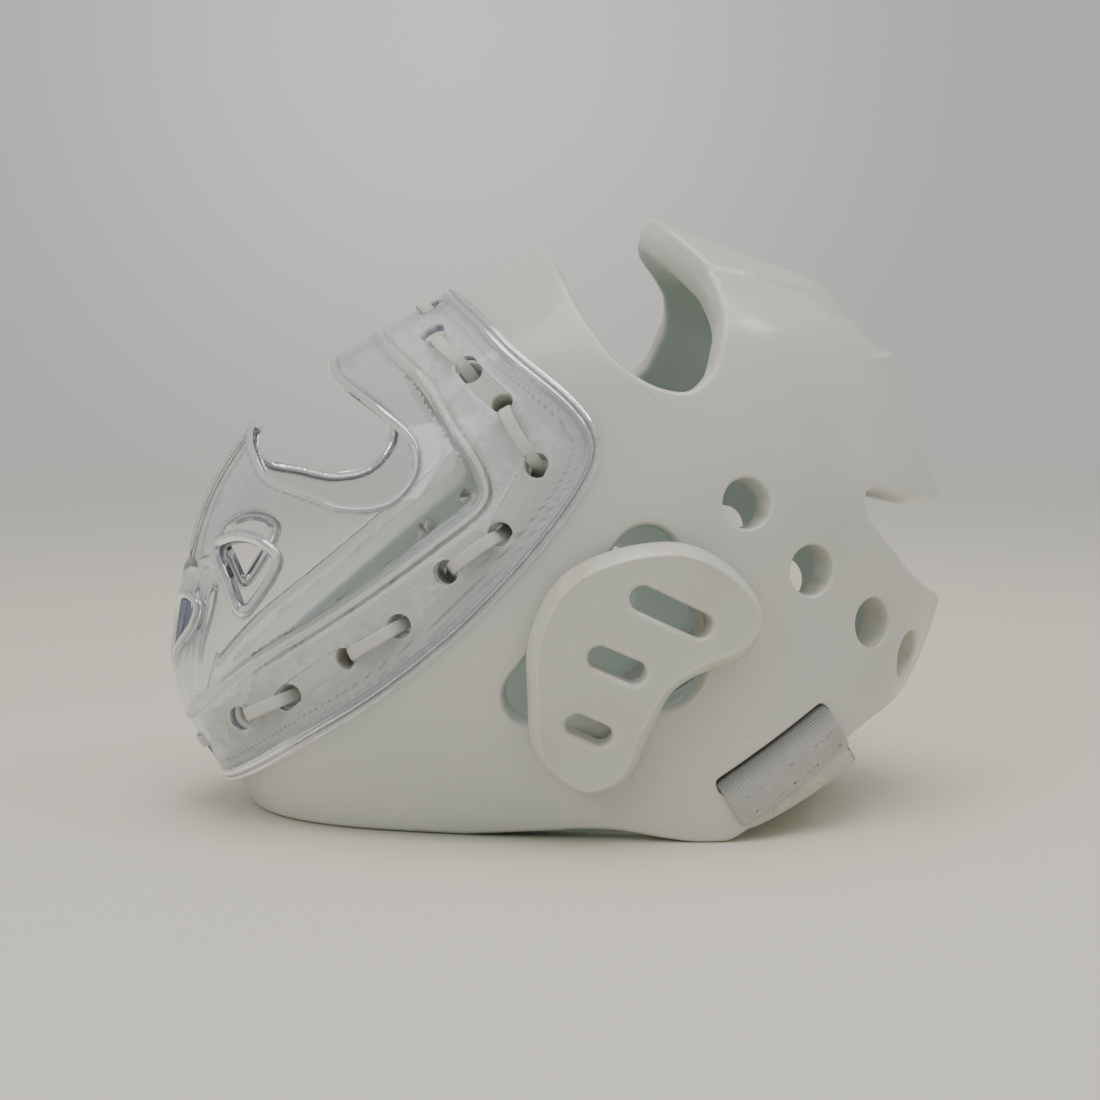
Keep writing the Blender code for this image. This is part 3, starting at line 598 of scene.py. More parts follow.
# Noise entries are scale, detail, roughness; ramps are from, to; bumps are
# strength, depth in metres; a tone's second entry is its share.
foamLook = {
    "coat": colour(0.605, 0.61, 0.565),
    "cover": colour(0.585, 0.597, 0.535),
    "shade": colour(0.55, 0.565, 0.525),
    # inside: painted greenish shade, standing for the shadowed inside of the shell
    "inside": (colour(0.55, 0.64, 0.60), 0.9),
    # rim: painted light, brightening the rounded rims and hole walls where shade would fall
    "rim": (colour(0.67, 0.67, 0.60), 0.5),
    "stain": (colour(0.50, 0.42, 0.28), 0.38),
    "speck": (colour(0.05, 0.05, 0.05), 0.75),
    "cloudNoise": (14.0, 2.0),
    "cloudRamp": (0.35, 0.7),
    "stainNoise": (55.0, 4.0, 0.65),
    "stainRamp": (0.52, 0.68),
    "speckCells": 160.0,
    "speckRamp": (0.03, 0.055),
    "speckRare": 0.9,
    "waveNoise": (38.0, 2.0),
    "waveBump": (0.35, 0.0012),
    "peelNoise": (420.0, 2.0),
    "peelBump": (0.16, 0.00025),
    "pitCells": 700.0,
    "pitRamp": (0.0, 0.35),
    "pitBump": (0.35, 0.0003),
    "glossNoise": (60.0, 3.0),
    "glossShares": (0.12, 0.25),
    "shell": 0.27,
    "earCover": 0.24,
    "varnish": {"IOR": 1.48, "Coat_Weight": 0.4, "Coat_Roughness": 0.12},
}


def foamFinish(name, coat, gloss):
    shop, look = Finish(name), foamLook
    cloud = shop.ramp(shop.noise(*look["cloudNoise"]), *look["cloudRamp"])
    tone = shop.mix(cloud, coat, look["shade"])
    # Painted greenish shade on the inner skin and on the ear opening's wall.
    tone = shop.laid(tone, shop.field("inside"), *look["inside"])
    # Painted light: the rims and hole walls are brightened against their shade.
    tone = shop.laid(tone, shop.field("rim"), *look["rim"])
    stain = shop.ramp(shop.noise(*look["stainNoise"]), *look["stainRamp"])
    tone = shop.laid(tone, shop.field("rim") * stain, *look["stain"])
    dots = shop.ramp(shop.cells(look["speckCells"]), *look["speckRamp"])
    spots = {"Vector": shop.cells(look["speckCells"], "Position")}
    rare = shop.node("ShaderNodeTexWhiteNoise", {}, spots, "Value")
    tone = shop.laid(tone, (1.0 - dots) * rare.above(look["speckRare"]), *look["speck"])
    pits = shop.ramp(shop.cells(look["pitCells"]), *look["pitRamp"]) * shop.field("rim")
    low = shop.bump(shop.noise(*look["waveNoise"]), *look["waveBump"])
    fine = shop.bump(shop.noise(*look["peelNoise"]), *look["peelBump"], low)
    rough = shop.bump(pits, *look["pitBump"], fine)
    byNoise, byInside = look["glossShares"]
    sheen = gloss + shop.noise(*look["glossNoise"]) * byNoise + shop.field("inside") * byInside
    return shop.paint(Base_Color=tone, Roughness=sheen, Normal=rough, **look["varnish"])


foamCoat = foamFinish("dipped foam coat", foamLook["coat"], foamLook["shell"])
coverCoat = foamFinish("ear cover coat", foamLook["cover"], foamLook["earCover"])

# Shell.

shellTable = {
    "thickness": 0.014,
    "spacing": 0.0026,
    "step": 0.0020,
    "face": (
        (-0.455, 0.8), (-0.387, 0.748), (-0.3, 0.657), (-0.243, 0.587), (-0.25, 0.545),
        (-0.367, 0.479), (-0.579, 0.372), (-0.785, 0.275), (-0.907, 0.2), (-0.965, 0.156),
    ),
    "crown": (
        (0.24, 1.007), (0.244, 1.001), (0.259, 0.984), (0.304, 0.945), (0.341, 0.89),
        (0.343, 0.822), (0.304, 0.755), (0.245, 0.728), (0.175, 0.734), (0.085, 0.77),
        (0.015, 0.832), (-0.029, 0.9), (-0.041, 0.936), (-0.045, 0.951),
    ),
    "notch": (
        (1.029, 0.342), (0.888, 0.402), (0.78, 0.474), (0.722, 0.522), (0.728, 0.558),
        (0.806, 0.546), (0.895, 0.53), (1.031, 0.532),
    ),
    "neck": (
        (-0.822, 0.0), (-0.5, 0.0), (-0.32, 0.0), (-0.14, 0.01), (-0.007, 0.018), (0.072, 0.017),
        (0.178, 0.006), (0.26, 0.0), (0.33, 0.0), (0.39, 0.02), (0.693, 0.155), (0.87, 0.19),
        (0.93, 0.2),
    ),
    "ear": ((0.131, 0.463, 0.082), (-0.140, 0.241, 0.081), (0.152, 0.301, 0.128)),
    "vents": ((0.384, 0.548), (0.558, 0.434), (0.739, 0.337), (0.865, 0.267)),
    "ventSize": 0.019,
    "laceHole": 0.009,
    "laceHoles": (
        (-0.349, 0.8), (-0.28, 0.754), (-0.207, 0.704), (-0.132, 0.611), (-0.224, 0.502),
        (-0.349, 0.442), (-0.46, 0.355), (-0.592, 0.297), (-0.732, 0.226), (-0.839, 0.186),
    ),
    "laceMiddle": (0.838, 0.123),
    "laceReach": 0.011,
    "strapPlace": (0.4537, 0.1474),
    "strapAngle": 32.0,
    "slot": (0.0507, 0.0066, 0.0005, 0.0026),  # strap width, slot width, margin, corner
    # How each rim is rounded.
    "rims": {
        "edge": {"round": 0.0026, "bulge": 0.0008, "walls": 5},
        "neck": {"round": 0.0026, "walls": 5},
        "ear": {"round": 0.002, "walls": 5, "bulge": 0.0005},
        "strap": {"round": 0.0012, "walls": 4},
        "vent": {"round": 0.0016, "walls": 5},
        "lace": {"round": 0.0010, "walls": 3, "turns": 4},
    },
    "strapStep": 0.0016,
    "ventCuts": 40,
    "laceCuts": 28,
    "levelled": (0.13, 0.03),  # shares of the height over which the rim turns level
    # The pads' relief at the back of the head, by height: relief and half width.
    "pads": (
        (0.0, 0.0, 0.026), (0.121, 0.0028, 0.026), (0.127, 0.0012, 0.026), (0.135, 0.0, 0.026),
        (0.157, 0.0, 0.026), (0.168, 0.001, 0.026), (0.176, 0.002, 0.027), (0.1785, -0.0024, 0.03),
        (0.185, -0.0032, 0.034), (0.1935, -0.0026, 0.03), (0.197, -0.0006, 0.028),
        (0.202, 0.0024, 0.03), (0.206, 0.0022, 0.034), (0.213, 0.0014, 0.044),
        (0.2216, 0.0006, 0.05), (0.229, 0.0, 0.05),
    ),
    "padFade": 0.006,
    "padBack": (0.035, 0.055),
    "padLines": (0.1760, 0.1785, 0.1935, 0.2020),
    "padReach": 0.034,
    # Skin near the ear opening's rim, and the shares of depth where its wall takes the painted inside
    # shade.
    "earReach": 0.004,
    "earTurn": (0.10, 0.40),
}


def laceSpots():
    brow, chin = (share * height for share in shellTable["laceMiddle"])
    spots = [fromFront(shellTable["laceReach"], brow)]
    spots += [fromSide(along, up) for along, up in shellTable["laceHoles"]]
    spots.append(fromFront(shellTable["laceReach"], chin))
    return np.array(spots)


def strapSide(along, across):
    # A spot of the strap in the side view: metres back and up.
    turn = math.radians(shellTable["strapAngle"])
    place = shellTable["strapPlace"]
    y = place[0] * halfLength + along * math.cos(turn) + across * math.sin(turn)
    z = place[1] * height + along * math.sin(turn) - across * math.cos(turn)
    return y, z


def strapSpot(along, across):
    y, z = strapSide(along, across)
    return fromSide(y / halfLength, z / height)


def slotCorners():
    width, slot, margin, corner = shellTable["slot"]
    corners = []
    for along in (-1, 1):
        for across in (-1, 1):
            a = along * (width / 2 + margin - corner)
            b = across * (slot / 2 - corner)
            corners.append((*strapSide(a, b), corner))
    return corners


def levelled(chart):
    # Chart points of the inner skin, let down where the neck rim lies flat.
    high, low = (share * height for share in shellTable["levelled"])
    heights = surface(chart)[:, 2]
    weight = np.clip((high - heights) / (high - low), 0, 1)
    weight = weight * weight * (3 - 2 * weight)
    moved = chart.copy()
    some = weight > 0
    for _ in range(5):
        spots = moved[some]
        miss = heights[some] - skin(spots, -shellTable["thickness"])[:, 2]
        moved[some, 1] += miss / surfaceSlopes(spots)[1][:, 2]
    return chart + (moved - chart) * weight[:, None]


def smooth(values, low, high):
    share = np.clip((values - low) / (high - low), 0, 1)
    return share * share * (3 - 2 * share)


def padRelief(chart):
    # The raised pads on the top and the back of the head, with a groove between.
    places = surface(chart)
    levels, reliefs, widths = np.array(shellTable["pads"]).T
    relief = np.interp(places[:, 2], levels, reliefs)
    width = np.interp(places[:, 2], levels, widths)
    across = np.abs(places[:, 0])
    fade = 1 - smooth(across, width, width + shellTable["padFade"])
    return relief * fade * smooth(places[:, 1], *shellTable["padBack"])


def shellPlace(chart, share):
    low = levelled(chart)
    offset = padRelief(chart) * (1 - share) - shellTable["thickness"] * share
    return skin(chart + (low - chart) * share[:, None], offset)


def rim(line, closed, toward, **sizes):
    made = {"line": line, **sizes}
    wide = sizes.get("wide", sizes["round"])
    made["inset"] = insetLine(line, wide, closed, toward)
    return made


def buildShell():
    step = shellTable["step"]
    neck = rimLine(shellTable["neck"], (0, 1), step)
    neck[:, 1] = np.maximum(neck[:, 1], fall(0.0))
    notch = rimLine(shellTable["notch"], (1, 1), step)
    crown = rimLine(shellTable["crown"], (1, 0), step)
    face = rimLine(shellTable["face"], (0, 0), step)
    sizes = shellTable["rims"]
    rims = [rim(line, False, 1, **sizes["edge"]) for line in (notch, crown, face)]
    rims.insert(0, rim(neck, False, 1, **sizes["neck"]))
    spacing = shellTable["spacing"]
    border = closedBorder(rims, (1, 1, 0, 0), spacing)
    corners = [(a * halfLength, u * height, r * halfLength) for a, u, r in shellTable["ear"]]
    holes = [rim(hullLine(corners, step), True, -1, **sizes["ear"])]
    line = hullLine(slotCorners(), shellTable["strapStep"])
    holes.append(rim(line, True, -1, **sizes["strap"]))
    for a, u in shellTable["vents"]:
        line = roundLine(fromSide(a, u), shellTable["ventSize"], shellTable["ventCuts"])
        holes.append(rim(line, True, -1, **sizes["vent"]))
    for spot in laceSpots():
        line = roundLine(spot, shellTable["laceHole"], shellTable["laceCuts"])
        holes.append(rim(line, True, -1, **sizes["lace"]))
    lines = []
    seam = math.pi * chartRadius
    for level in shellTable["padLines"]:
        reach = np.arange(spacing * 0.6, shellTable["padReach"], spacing * 0.8)
        lines.append(np.stack([seam - reach, np.full(len(reach), fall(level))], axis=1))
    chart, places, polygons, share, edgeMask = padBody(
        border, rims, holes, shellTable["thickness"], spacing, shellPlace, lines
    )
    # The inner skin takes the painted greenish shade; so does the ear opening's wall from early in its
    # depth.
    inside = np.clip((share - 0.8) / 0.2, 0, 1)
    byEar = nearness(surface(chart), surface(holes[0]["line"])) < shellTable["earReach"]
    inside = np.where(byEar, smooth(share, *shellTable["earTurn"]), inside)
    # The painted light on the rims stops where the painted inside shade starts.
    edgeMask = edgeMask * (1 - inside)
    places, polygons, inside, edgeMask = mirrored(chart, places, polygons, inside, edgeMask)
    shell = makePiece(
        "padded_shell", places, polygons, foamCoat, "dipped_foam", inside=inside, rim=edgeMask
    )
    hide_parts("shell")
    print("built the shell:", len(shell.data.polygons), "faces")


buildShell()

# Face shield.

shieldTable = {
    "gap": 0.0012,
    "wall": 0.003,
    "spacing": 0.00122,
    "step": 0.0009,
    "rim": (
        (-0.305, 0.857), (-0.267, 0.823), (-0.118, 0.724), (-0.035, 0.668), (-0.019, 0.633),
        (-0.043, 0.593), (-0.153, 0.494), (-0.369, 0.345), (-0.586, 0.228), (-0.807, 0.12),
        (-0.88, 0.074),
    ),
    "eye": (
        (-0.79, 0.642), (-0.801, 0.599), (-0.765, 0.562), (-0.687, 0.546), (-0.567, 0.527),
        (-0.472, 0.54), (-0.406, 0.59), (-0.408, 0.64), (-0.476, 0.685), (-0.567, 0.729),
        (-0.595, 0.755),
    ),
    "cheek": (
        (-0.895, 0.461), (-0.862, 0.48), (-0.811, 0.487), (-0.763, 0.476), (-0.731, 0.449),
        (-0.777, 0.387), (-0.83, 0.348), (-0.871, 0.399),
    ),
    "chin": (
        # across, up, seen from the front
        (0.045, 0.36), (0.14, 0.376), (0.262, 0.362), (0.25, 0.325), (0.13, 0.275), (0.045, 0.245),
    ),
    # Lace holes of the foam that one long slot of the shield shows.
    "slots": ((2, 3), (4, 5), (8, 9)),
    "slotWidth": 0.0086,
    "slotStep": 0.0010,
    "laceCuts": 32,
    "laceRim": {"round": 0.0006, "walls": 3, "turns": 3},
    "beadRound": 0.001,
    "beadWide": 0.0060,
    "eyeWide": 0.0032,
    "cheekWide": 0.0040,
    "chinWide": 0.0030,
    # Beads, from inside to the edge: distance in, height over the wall.
    "bead": (
        (0.0059, 0.0), (0.0056, 0.0001), (0.0052, 0.0006), (0.0047, 0.0008), (0.0042, 0.0006),
        (0.0038, 0.0001), (0.0034, 0.0), (0.003, 0.0005), (0.0026, 0.0009), (0.0021, 0.001),
        (0.0016, 0.0008), (0.0012, 0.0003), (0.0008, 0.0002), (0.0004, 0.0001), (0.0001, -0.0002),
    ),
    "eyeBead": (
        (0.0027, 0.0002), (0.0022, 0.0006), (0.0016, 0.0009), (0.001, 0.0009), (0.0005, 0.0006),
        (0.0001, 0.0001),
    ),
    "holeBead": (
        (0.0036, 0.0002), (0.0031, 0.0007), (0.0025, 0.0012), (0.0018, 0.0014), (0.0011, 0.0012),
        (0.0005, 0.0007), (0.0001, 0.0),
    ),
    # The ridge along the foam's face rim: distance over the opening, height.
    "ridge": (
        (-0.02, 0.0), (0.0006, 0.0), (0.0014, 0.0006), (0.0022, 0.0011), (0.0036, 0.0011),
        (0.0044, 0.0005), (0.0052, 0.0), (0.2, 0.0),
    ),
    "fields": ("over", "away", "crest", "valley"),
    # Raised bars at nose and mouth: height, and the fades across, below and above.
    "bars": (
        (0.0013, (0.0037, 0.0067), (0.096, 0.103), (0.143, 0.150)),
        (0.0020, (0.024, 0.034), (0.035, 0.06), (0.093, 0.099)),
    ),
    # Painted dark lines, standing for the shade in the bead's valleys: strength, distance from the
    # border, half width.
    "lines": ((1.0, 0.0036, 0.0006), (0.8, 0.0009, 0.0005), (0.5, 0.0054, 0.0005)),
    # The painted dark line along the rims of the eye, cheek and chin openings.
    "rimLine": (0.8, 0.0004, 0.0005),
}

glassLook = {
    "tint": colour(0.965, 0.972, 0.98),
    # edge: painted dark refraction on the cut edges and walls, over the plastic's own faint blue
    "edge": (colour(0.12, 0.16, 0.32), 0.85),
    "haze": colour(0.72, 0.72, 0.74),
    # line: the colour of the painted dark lines
    "line": colour(0.13, 0.14, 0.18),
    "shadow": colour(0.88, 0.89, 0.90),
    # The milky band: distance over the face rim, distance from the border.
    "frostOver": (-0.0012, 0.0006),
    "frostAway": (0.0056, 0.0095),
    "patchNoise": (75.0, 6.0, 0.72),
    "patchRamp": (0.47, 0.60),
    "patchShares": (0.15, 0.85),
    "rippleNoise": (45.0, 2.0),
    "rippleBump": (0.08, 0.0008),
    "grainNoise": (1100.0, 3.0),
    "grainBump": (0.35, 0.0002),
    # How milky: everywhere, by frost, on ridges, on the painted dark lines.
    "veil": (0.045, 0.36, 0.16, 0.62),
    "ior": 1.49,
    "rough": 0.03,
    "frostRough": 0.22,
    "hazeRough": 0.45,
}


def glassFinish(name):
    shop, look = Finish(name), glassLook
    patches = shop.ramp(shop.noise(*look["patchNoise"]), *look["patchRamp"])
    least, more = look["patchShares"]
    frost = 1.0 - shop.ramp(shop.field("over"), *look["frostOver"])
    frost = frost * shop.ramp(shop.field("away"), *look["frostAway"])
    frost = frost * (least + patches * more)
    # The dark blue on the edges is painted refraction, over the plastic's own faint blue.
    tint = shop.laid(look["tint"], shop.field("edge"), *look["edge"])
    ripple = shop.bump(shop.noise(*look["rippleNoise"]), *look["rippleBump"])
    grain = (shop.noise(*look["grainNoise"]) - 0.5) * frost
    grain = shop.bump(grain, *look["grainBump"], ripple)
    rough = look["rough"] + frost * look["frostRough"]
    shop.paint(
        Base_Color=tint, Roughness=rough, IOR=look["ior"], Transmission_Weight=1.0, Normal=grain
    )
    # Painted dark lines darken the haze along the bead's valleys and the openings' rims.
    line = shop.field("valley").clamp()
    haze = shop.mix(line, look["haze"], look["line"])
    haze = {"Base Color": haze, "Roughness": look["hazeRough"], "Normal": grain}
    haze = shop.node("ShaderNodeBsdfPrincipled", {}, haze)
    base, byFrost, byCrest, byLine = look["veil"]
    veil = (base + frost * byFrost + shop.field("crest") * byCrest + line * byLine).clamp()
    clear = shop.node("ShaderNodeBsdfTransparent", {}, {"Color": look["shadow"]})
    path = shop.node("ShaderNodeLightPath", {}, {}, "Is Shadow Ray")
    body = Wire(shop, shop.shader.outputs[0])
    body = shop.node("ShaderNodeMixShader", {}, {0: veil, 1: body, 2: haze})
    body = shop.node("ShaderNodeMixShader", {}, {0: path, 1: body, 2: clear})
    shop.feed(shop.tree.nodes["Material Output"].inputs["Surface"], body)
    return shop.material


clearShield = glassFinish("clear polycarbonate")


def beadProfile(rows, wall):
    # A rim's profile: the raised bead and then the edge's own wall.
    profile = [(distance, -lift / wall) for distance, lift in rows]
    return profile + [(0.0, 0.25), (0.0, 0.6), (0.0001, 0.9), (0.0006, 1.0)]


def beaded(line, closed, toward, bead, wide):
    profile = beadProfile(shieldTable[bead], shieldTable["wall"])
    sizes = {"round": shieldTable["beadRound"], "wide": shieldTable[wide], "profile": profile}
    return rim(line, closed, toward, **sizes)


def unfolded(line, source, distance):
    # The moved line without the points where it has folded over itself.
    away = nearness(surface(line), surface(source))
    return line[away > abs(distance) * 0.97 - 0.0003]


def shieldRelief(chart, share, marks):
    # Raised forms on the shield: a ridge by the face rim, the nose and the mouth.
    places = surface(chart)
    fromFace = nearness(places, marks["faceFine"])
    over = np.where(isInside(chart, marks["foamSide"]), -fromFace, fromFace)
    distances, lifts = np.array(shieldTable["ridge"]).T
    ridge = np.interp(over, distances, lifts)
    x, z = np.abs(places[:, 0]), places[:, 2]
    raised = np.array(ridge)
    for lift, side, foot, head in shieldTable["bars"]:
        bar = (1 - smooth(x, *side)) * smooth(z, *foot) * (1 - smooth(z, *head))
        raised += lift * bar
    # Painted dark lines in the bead's valleys and along the openings' rims.
    fromBorder = nearness(places, marks["borderFine"])
    rows = [(fromBorder, *row) for row in shieldTable["lines"]]
    rows.append((nearness(places, marks["rimsFine"]), *shieldTable["rimLine"]))
    valley = sum(paintedShade * np.exp(-(((away - spot) / wide) ** 2)) for away, paintedShade, spot, wide in rows)
    return raised, over, fromBorder, ridge / lifts.max(), valley * (share < 0.5)


def buildShield():
    step, wall = shieldTable["step"], shieldTable["wall"]
    outline = rimLine(shieldTable["rim"], (0, 0), step)
    eyeLine = rimLine(shieldTable["eye"], (None, 0), step)
    eyeLine[0, 0] = 0.0
    rims = [beaded(outline, False, 1, "bead", "beadWide")]
    rims.append(beaded(eyeLine, False, 1, "eyeBead", "eyeWide"))
    spacing = shieldTable["spacing"]
    border = closedBorder(rims, (0, 0), spacing)
    cheek = [fromSide(a, u) for a, u in shieldTable["cheek"]]
    cheek = throughKnots(cheek, knotCuts, closed=True)
    chin = [fromFront(a * halfWidth, u * height) for a, u in shieldTable["chin"]]
    chin = throughKnots(chin, knotCuts, closed=True)
    holes = [beaded(evenSteps(cheek, step, True), True, -1, "holeBead", "cheekWide")]
    holes.append(beaded(evenSteps(chin, step, True), True, -1, "eyeBead", "chinWide"))
    spots = laceSpots()
    joined = {i for pair in shieldTable["slots"] for i in pair}
    for i, spot in enumerate(spots):
        if i not in joined:
            line = roundLine(spot, shellTable["laceHole"], shieldTable["laceCuts"])
            holes.append(rim(line, True, -1, **shieldTable["laceRim"]))
    for i, k in shieldTable["slots"]:
        line = capsuleLine(spots[i], spots[k], shieldTable["slotWidth"] / 2, shieldTable["slotStep"])
        holes.append(rim(line, True, -1, **shieldTable["laceRim"]))
    face = rimLine(shellTable["face"], (0, 0), 0.0013)
    faceFine = rimLine(shellTable["face"], (0, 0), 0.0004)
    lines = []
    for distance, _ in shieldTable["ridge"][1:-1]:
        lines.append(unfolded(insetLine(face, -distance, False, 1), faceFine, distance))
    # The loop round the foam's side of the face rim, beyond the shield's border.
    top, low, back = 0.05, face[:, 1].min() - 0.1, math.pi * chartRadius
    foamSide = np.vstack([face, [[0.0, low], [back, low], [back, top], [0.0, top]]])
    marks = {
        "faceFine": surface(faceFine),
        "foamSide": foamSide,
        "borderFine": surface(rimLine(shieldTable["rim"], (0, 0), 0.0005)),
        "rimsFine": surface(np.vstack([evenSteps(line, 0.0003) for line in (eyeLine, cheek, chin)])),
    }
    fields = {}

    def place(chart, share):
        raised, *values = shieldRelief(chart, share, marks)
        fields.update(zip(shieldTable["fields"], values))
        lift = shieldTable["gap"] + (wall + raised) * (1 - share) + raised * 0.4 * share
        return skin(chart, lift)

    chart, places, polygons, share, mask = padBody(
        border, rims, holes, wall, spacing, place, lines
    )
    # The walls of the border and of every opening carry the painted dark edge.
    edge = mask * smooth(share, 0.04, 0.3)
    names = shieldTable["fields"]
    places, polygons, edge, *values = mirrored(
        chart, places, polygons, edge, *[fields[name] for name in names]
    )
    shield = makePiece(
        "clear_shield",
        places,
        polygons,
        clearShield,
        "clear_polycarbonate",
        edge=edge,
        **dict(zip(names, values)),
    )
    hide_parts("face_shield")
    print("built the shield:", len(shield.data.polygons), "faces")


buildShield()

# Ear covers.

coverTable = {
    "thickness": 0.011,
    "lift": 0.0045,
    "clearance": 0.0009,
    "spacing": 0.0030,
    "step": 0.0020,
    "hub": (0.079, 0.320),
    "reach": (
        # angle, reach
        (-5.0, 0.28), (12.0, 0.341), (37.0, 0.321), (65.0, 0.286), (95.0, 0.249), (130.0, 0.241),
        (170.0, 0.237), (205.0, 0.261), (235.0, 0.345), (256.0, 0.369), (271.0, 0.32),
        (288.0, 0.197), (315.0, 0.145), (336.0, 0.168),
    ),
    "slots": (
        (0.103, 0.408, 0.241, 0.362, 0.03), (0.006, 0.319, 0.086, 0.294, 0.027),
        (-0.041, 0.213, 0.015, 0.194, 0.026),
    ),
    "slotStep": 0.0011,
    "slotRim": {"round": 0.0022, "wide": 0.0026, "walls": 4, "turns": 6},
    "edge": {"round": 0.001, "wide": 0.0053},
    # Where the cover touches the shell: along, up, reach, and the fade round it.
    "seats": ((0.010, 0.120, 0.130), (0.370, 0.365, 0.130)),
    "seatFade": (0.6, 1.8),
    # The bevelled side, from the crisp top edge down: distance in, share of depth.
    "bevel": (
        (0.0049, -0.01), (0.0046, -0.015), (0.0043, -0.006), (0.004, 0.02), (0.0036, 0.07),
        (0.0031, 0.145), (0.0025, 0.24), (0.0019, 0.35), (0.0013, 0.47), (0.0008, 0.59),
        (0.0003, 0.72), (0.0, 0.84), (0.0001, 0.9), (0.0005, 0.96), (0.0012, 1.0),
    ),
}


def coverLift(chart):
    places = surface(chart)
    lift = np.ones(len(chart))
    for along, up, reach in coverTable["seats"]:
        seat = np.array([along * halfLength + guard["shift"], up * height])
        share = np.linalg.norm(places[:, 1:] - seat, axis=1) / (reach * halfLength)
        lift = np.minimum(lift, smooth(share, *coverTable["seatFade"]))
    return coverTable["clearance"] + coverTable["lift"] * lift


def buildCovers():
    knots = []
    for angle, reach in coverTable["reach"]:
        turn = math.radians(angle)
        y = coverTable["hub"][0] * halfLength + math.cos(turn) * reach * halfLength
        z = coverTable["hub"][1] * height + math.sin(turn) * reach * halfLength
        knots.append(fromSide(y / halfLength, z / height))
    outline = evenSteps(throughKnots(knots, knotCuts, closed=True), coverTable["step"], True)
    side = list(coverTable["bevel"])
    edge = rim(outline, True, 1, **coverTable["edge"], profile=side)
    edge["outer"] = True
    holes = [edge]
    for y0, z0, y1, z1, radius in coverTable["slots"]:
        ends = [
            (y0 * halfLength, z0 * height, radius * halfLength),
            (y1 * halfLength, z1 * height, radius * halfLength),
        ]
        line = hullLine(ends, coverTable["slotStep"])
        holes.append(rim(line, True, -1, **coverTable["slotRim"]))

    def place(chart, share):
        lift = coverLift(chart)
        return skin(chart, lift + coverTable["thickness"] * (1 - share))

    thick = coverTable["thickness"]
    _, places, polygons, share, mask = padBody(
        edge["inset"], [], holes, thick, coverTable["spacing"], place
    )
    inside = np.zeros(len(places))
    left = makePiece(
        "ear_cover_left_foam", places, polygons, coverCoat, "moulded_foam", inside=inside, rim=mask
    )
    right = mirrorPiece(left, "ear_cover_right_foam", coverCoat, "moulded_foam", "inside", "rim")
    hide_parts("ear_cover_left")
    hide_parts("ear_cover_right")
    print("built the ear covers:", len(left.data.polygons), "faces each")


buildCovers()

# Lace.

laceTable = {
    "width": 0.0048,
    "thick": 0.0010,
    "over": 0.0050,
    "under": -0.0163,
    # share of a run, share of the way from the middle to the run's level
    "run": ((0.0, 0.0), (0.11, 0.74), (0.25, 1.0), (0.5, 1.05), (0.75, 1.0), (0.89, 0.74)),
    "section": 7,
    "warps": 7.5,
    "weftPitch": 0.0011,
    "lean": 9.0,
    "sideReach": 0.004,
}


laceLook = {
    "low": colour(0.56, 0.56, 0.52),
    "high": colour(0.74, 0.74, 0.70),
    "dirt": (colour(0.55, 0.52, 0.44), 0.25),
    "weaveRamp": (-0.9, 0.7),
    "dirtNoise": (70.0, 4.0),
    "dirtRamp": (0.5, 0.8),
    "weaveBump": (0.6, 0.00016),
    "fuzzNoise": (2600.0, 3.0),
    "fuzzBump": (0.35, 0.00012),
    "cloth": {"Roughness": 0.85, "Sheen_Weight": 0.25},
}


def laceFinish(name):
    shop, look = Finish(name), laceLook
    along, across = shop.field("along"), shop.field("across")
    warp = shop.waves(across * (fullTurn * laceTable["warps"]))
    weft = shop.waves(along * (fullTurn / laceTable["weftPitch"]) + across * laceTable["lean"])
    weave = warp * weft
    tone = shop.mix(shop.ramp(weave, *look["weaveRamp"]), look["low"], look["high"])
    dirt = shop.ramp(shop.noise(*look["dirtNoise"]), *look["dirtRamp"])
    tone = shop.laid(tone, dirt, *look["dirt"])
    ribs = shop.bump(weave, *look["weaveBump"])
    hairy = shop.bump(shop.noise(*look["fuzzNoise"]), *look["fuzzBump"], ribs)
    return shop.paint(Base_Color=tone, Normal=hairy, **look["cloth"])


def ribbonBody(line, side, width, thick, section):
    # A closed loop of flat braid along a line, with rounded edges.
    count = len(line)
    tangent = unit(np.roll(line, -1, axis=0) - np.roll(line, 1, axis=0))
    side = unit(side - tangent * (side * tangent).sum(1)[:, None])
    up = np.cross(tangent, side)
    ring = []
    for k in range(section):
        ring.append((-1 + 2 * k / (section - 1), 0.5))
    for k in range(section):
        ring.append((1 - 2 * k / (section - 1), -0.5))
    points = []
    for across, level in ring:
        thin = 0.55 + 0.45 * (1 - abs(across) ** 6)
        points.append(line + side * (across * width / 2) + up * (level * thick * thin))
    places = np.stack(points, axis=1).reshape(-1, 3)
    size = len(ring)
    polygons = []
    for i in range(count):
        k = (i + 1) % count
        for j in range(size):
            m = (j + 1) % size
            polygons.append((i * size + j, k * size + j, k * size + m, i * size + m))
    lengths = np.cumsum(np.linalg.norm(np.diff(line, axis=0, prepend=line[-1:]), axis=1))
    along = np.repeat(lengths, size)
    across = np.tile([spot[0] for spot in ring], count)
    return places, polygons, along, across


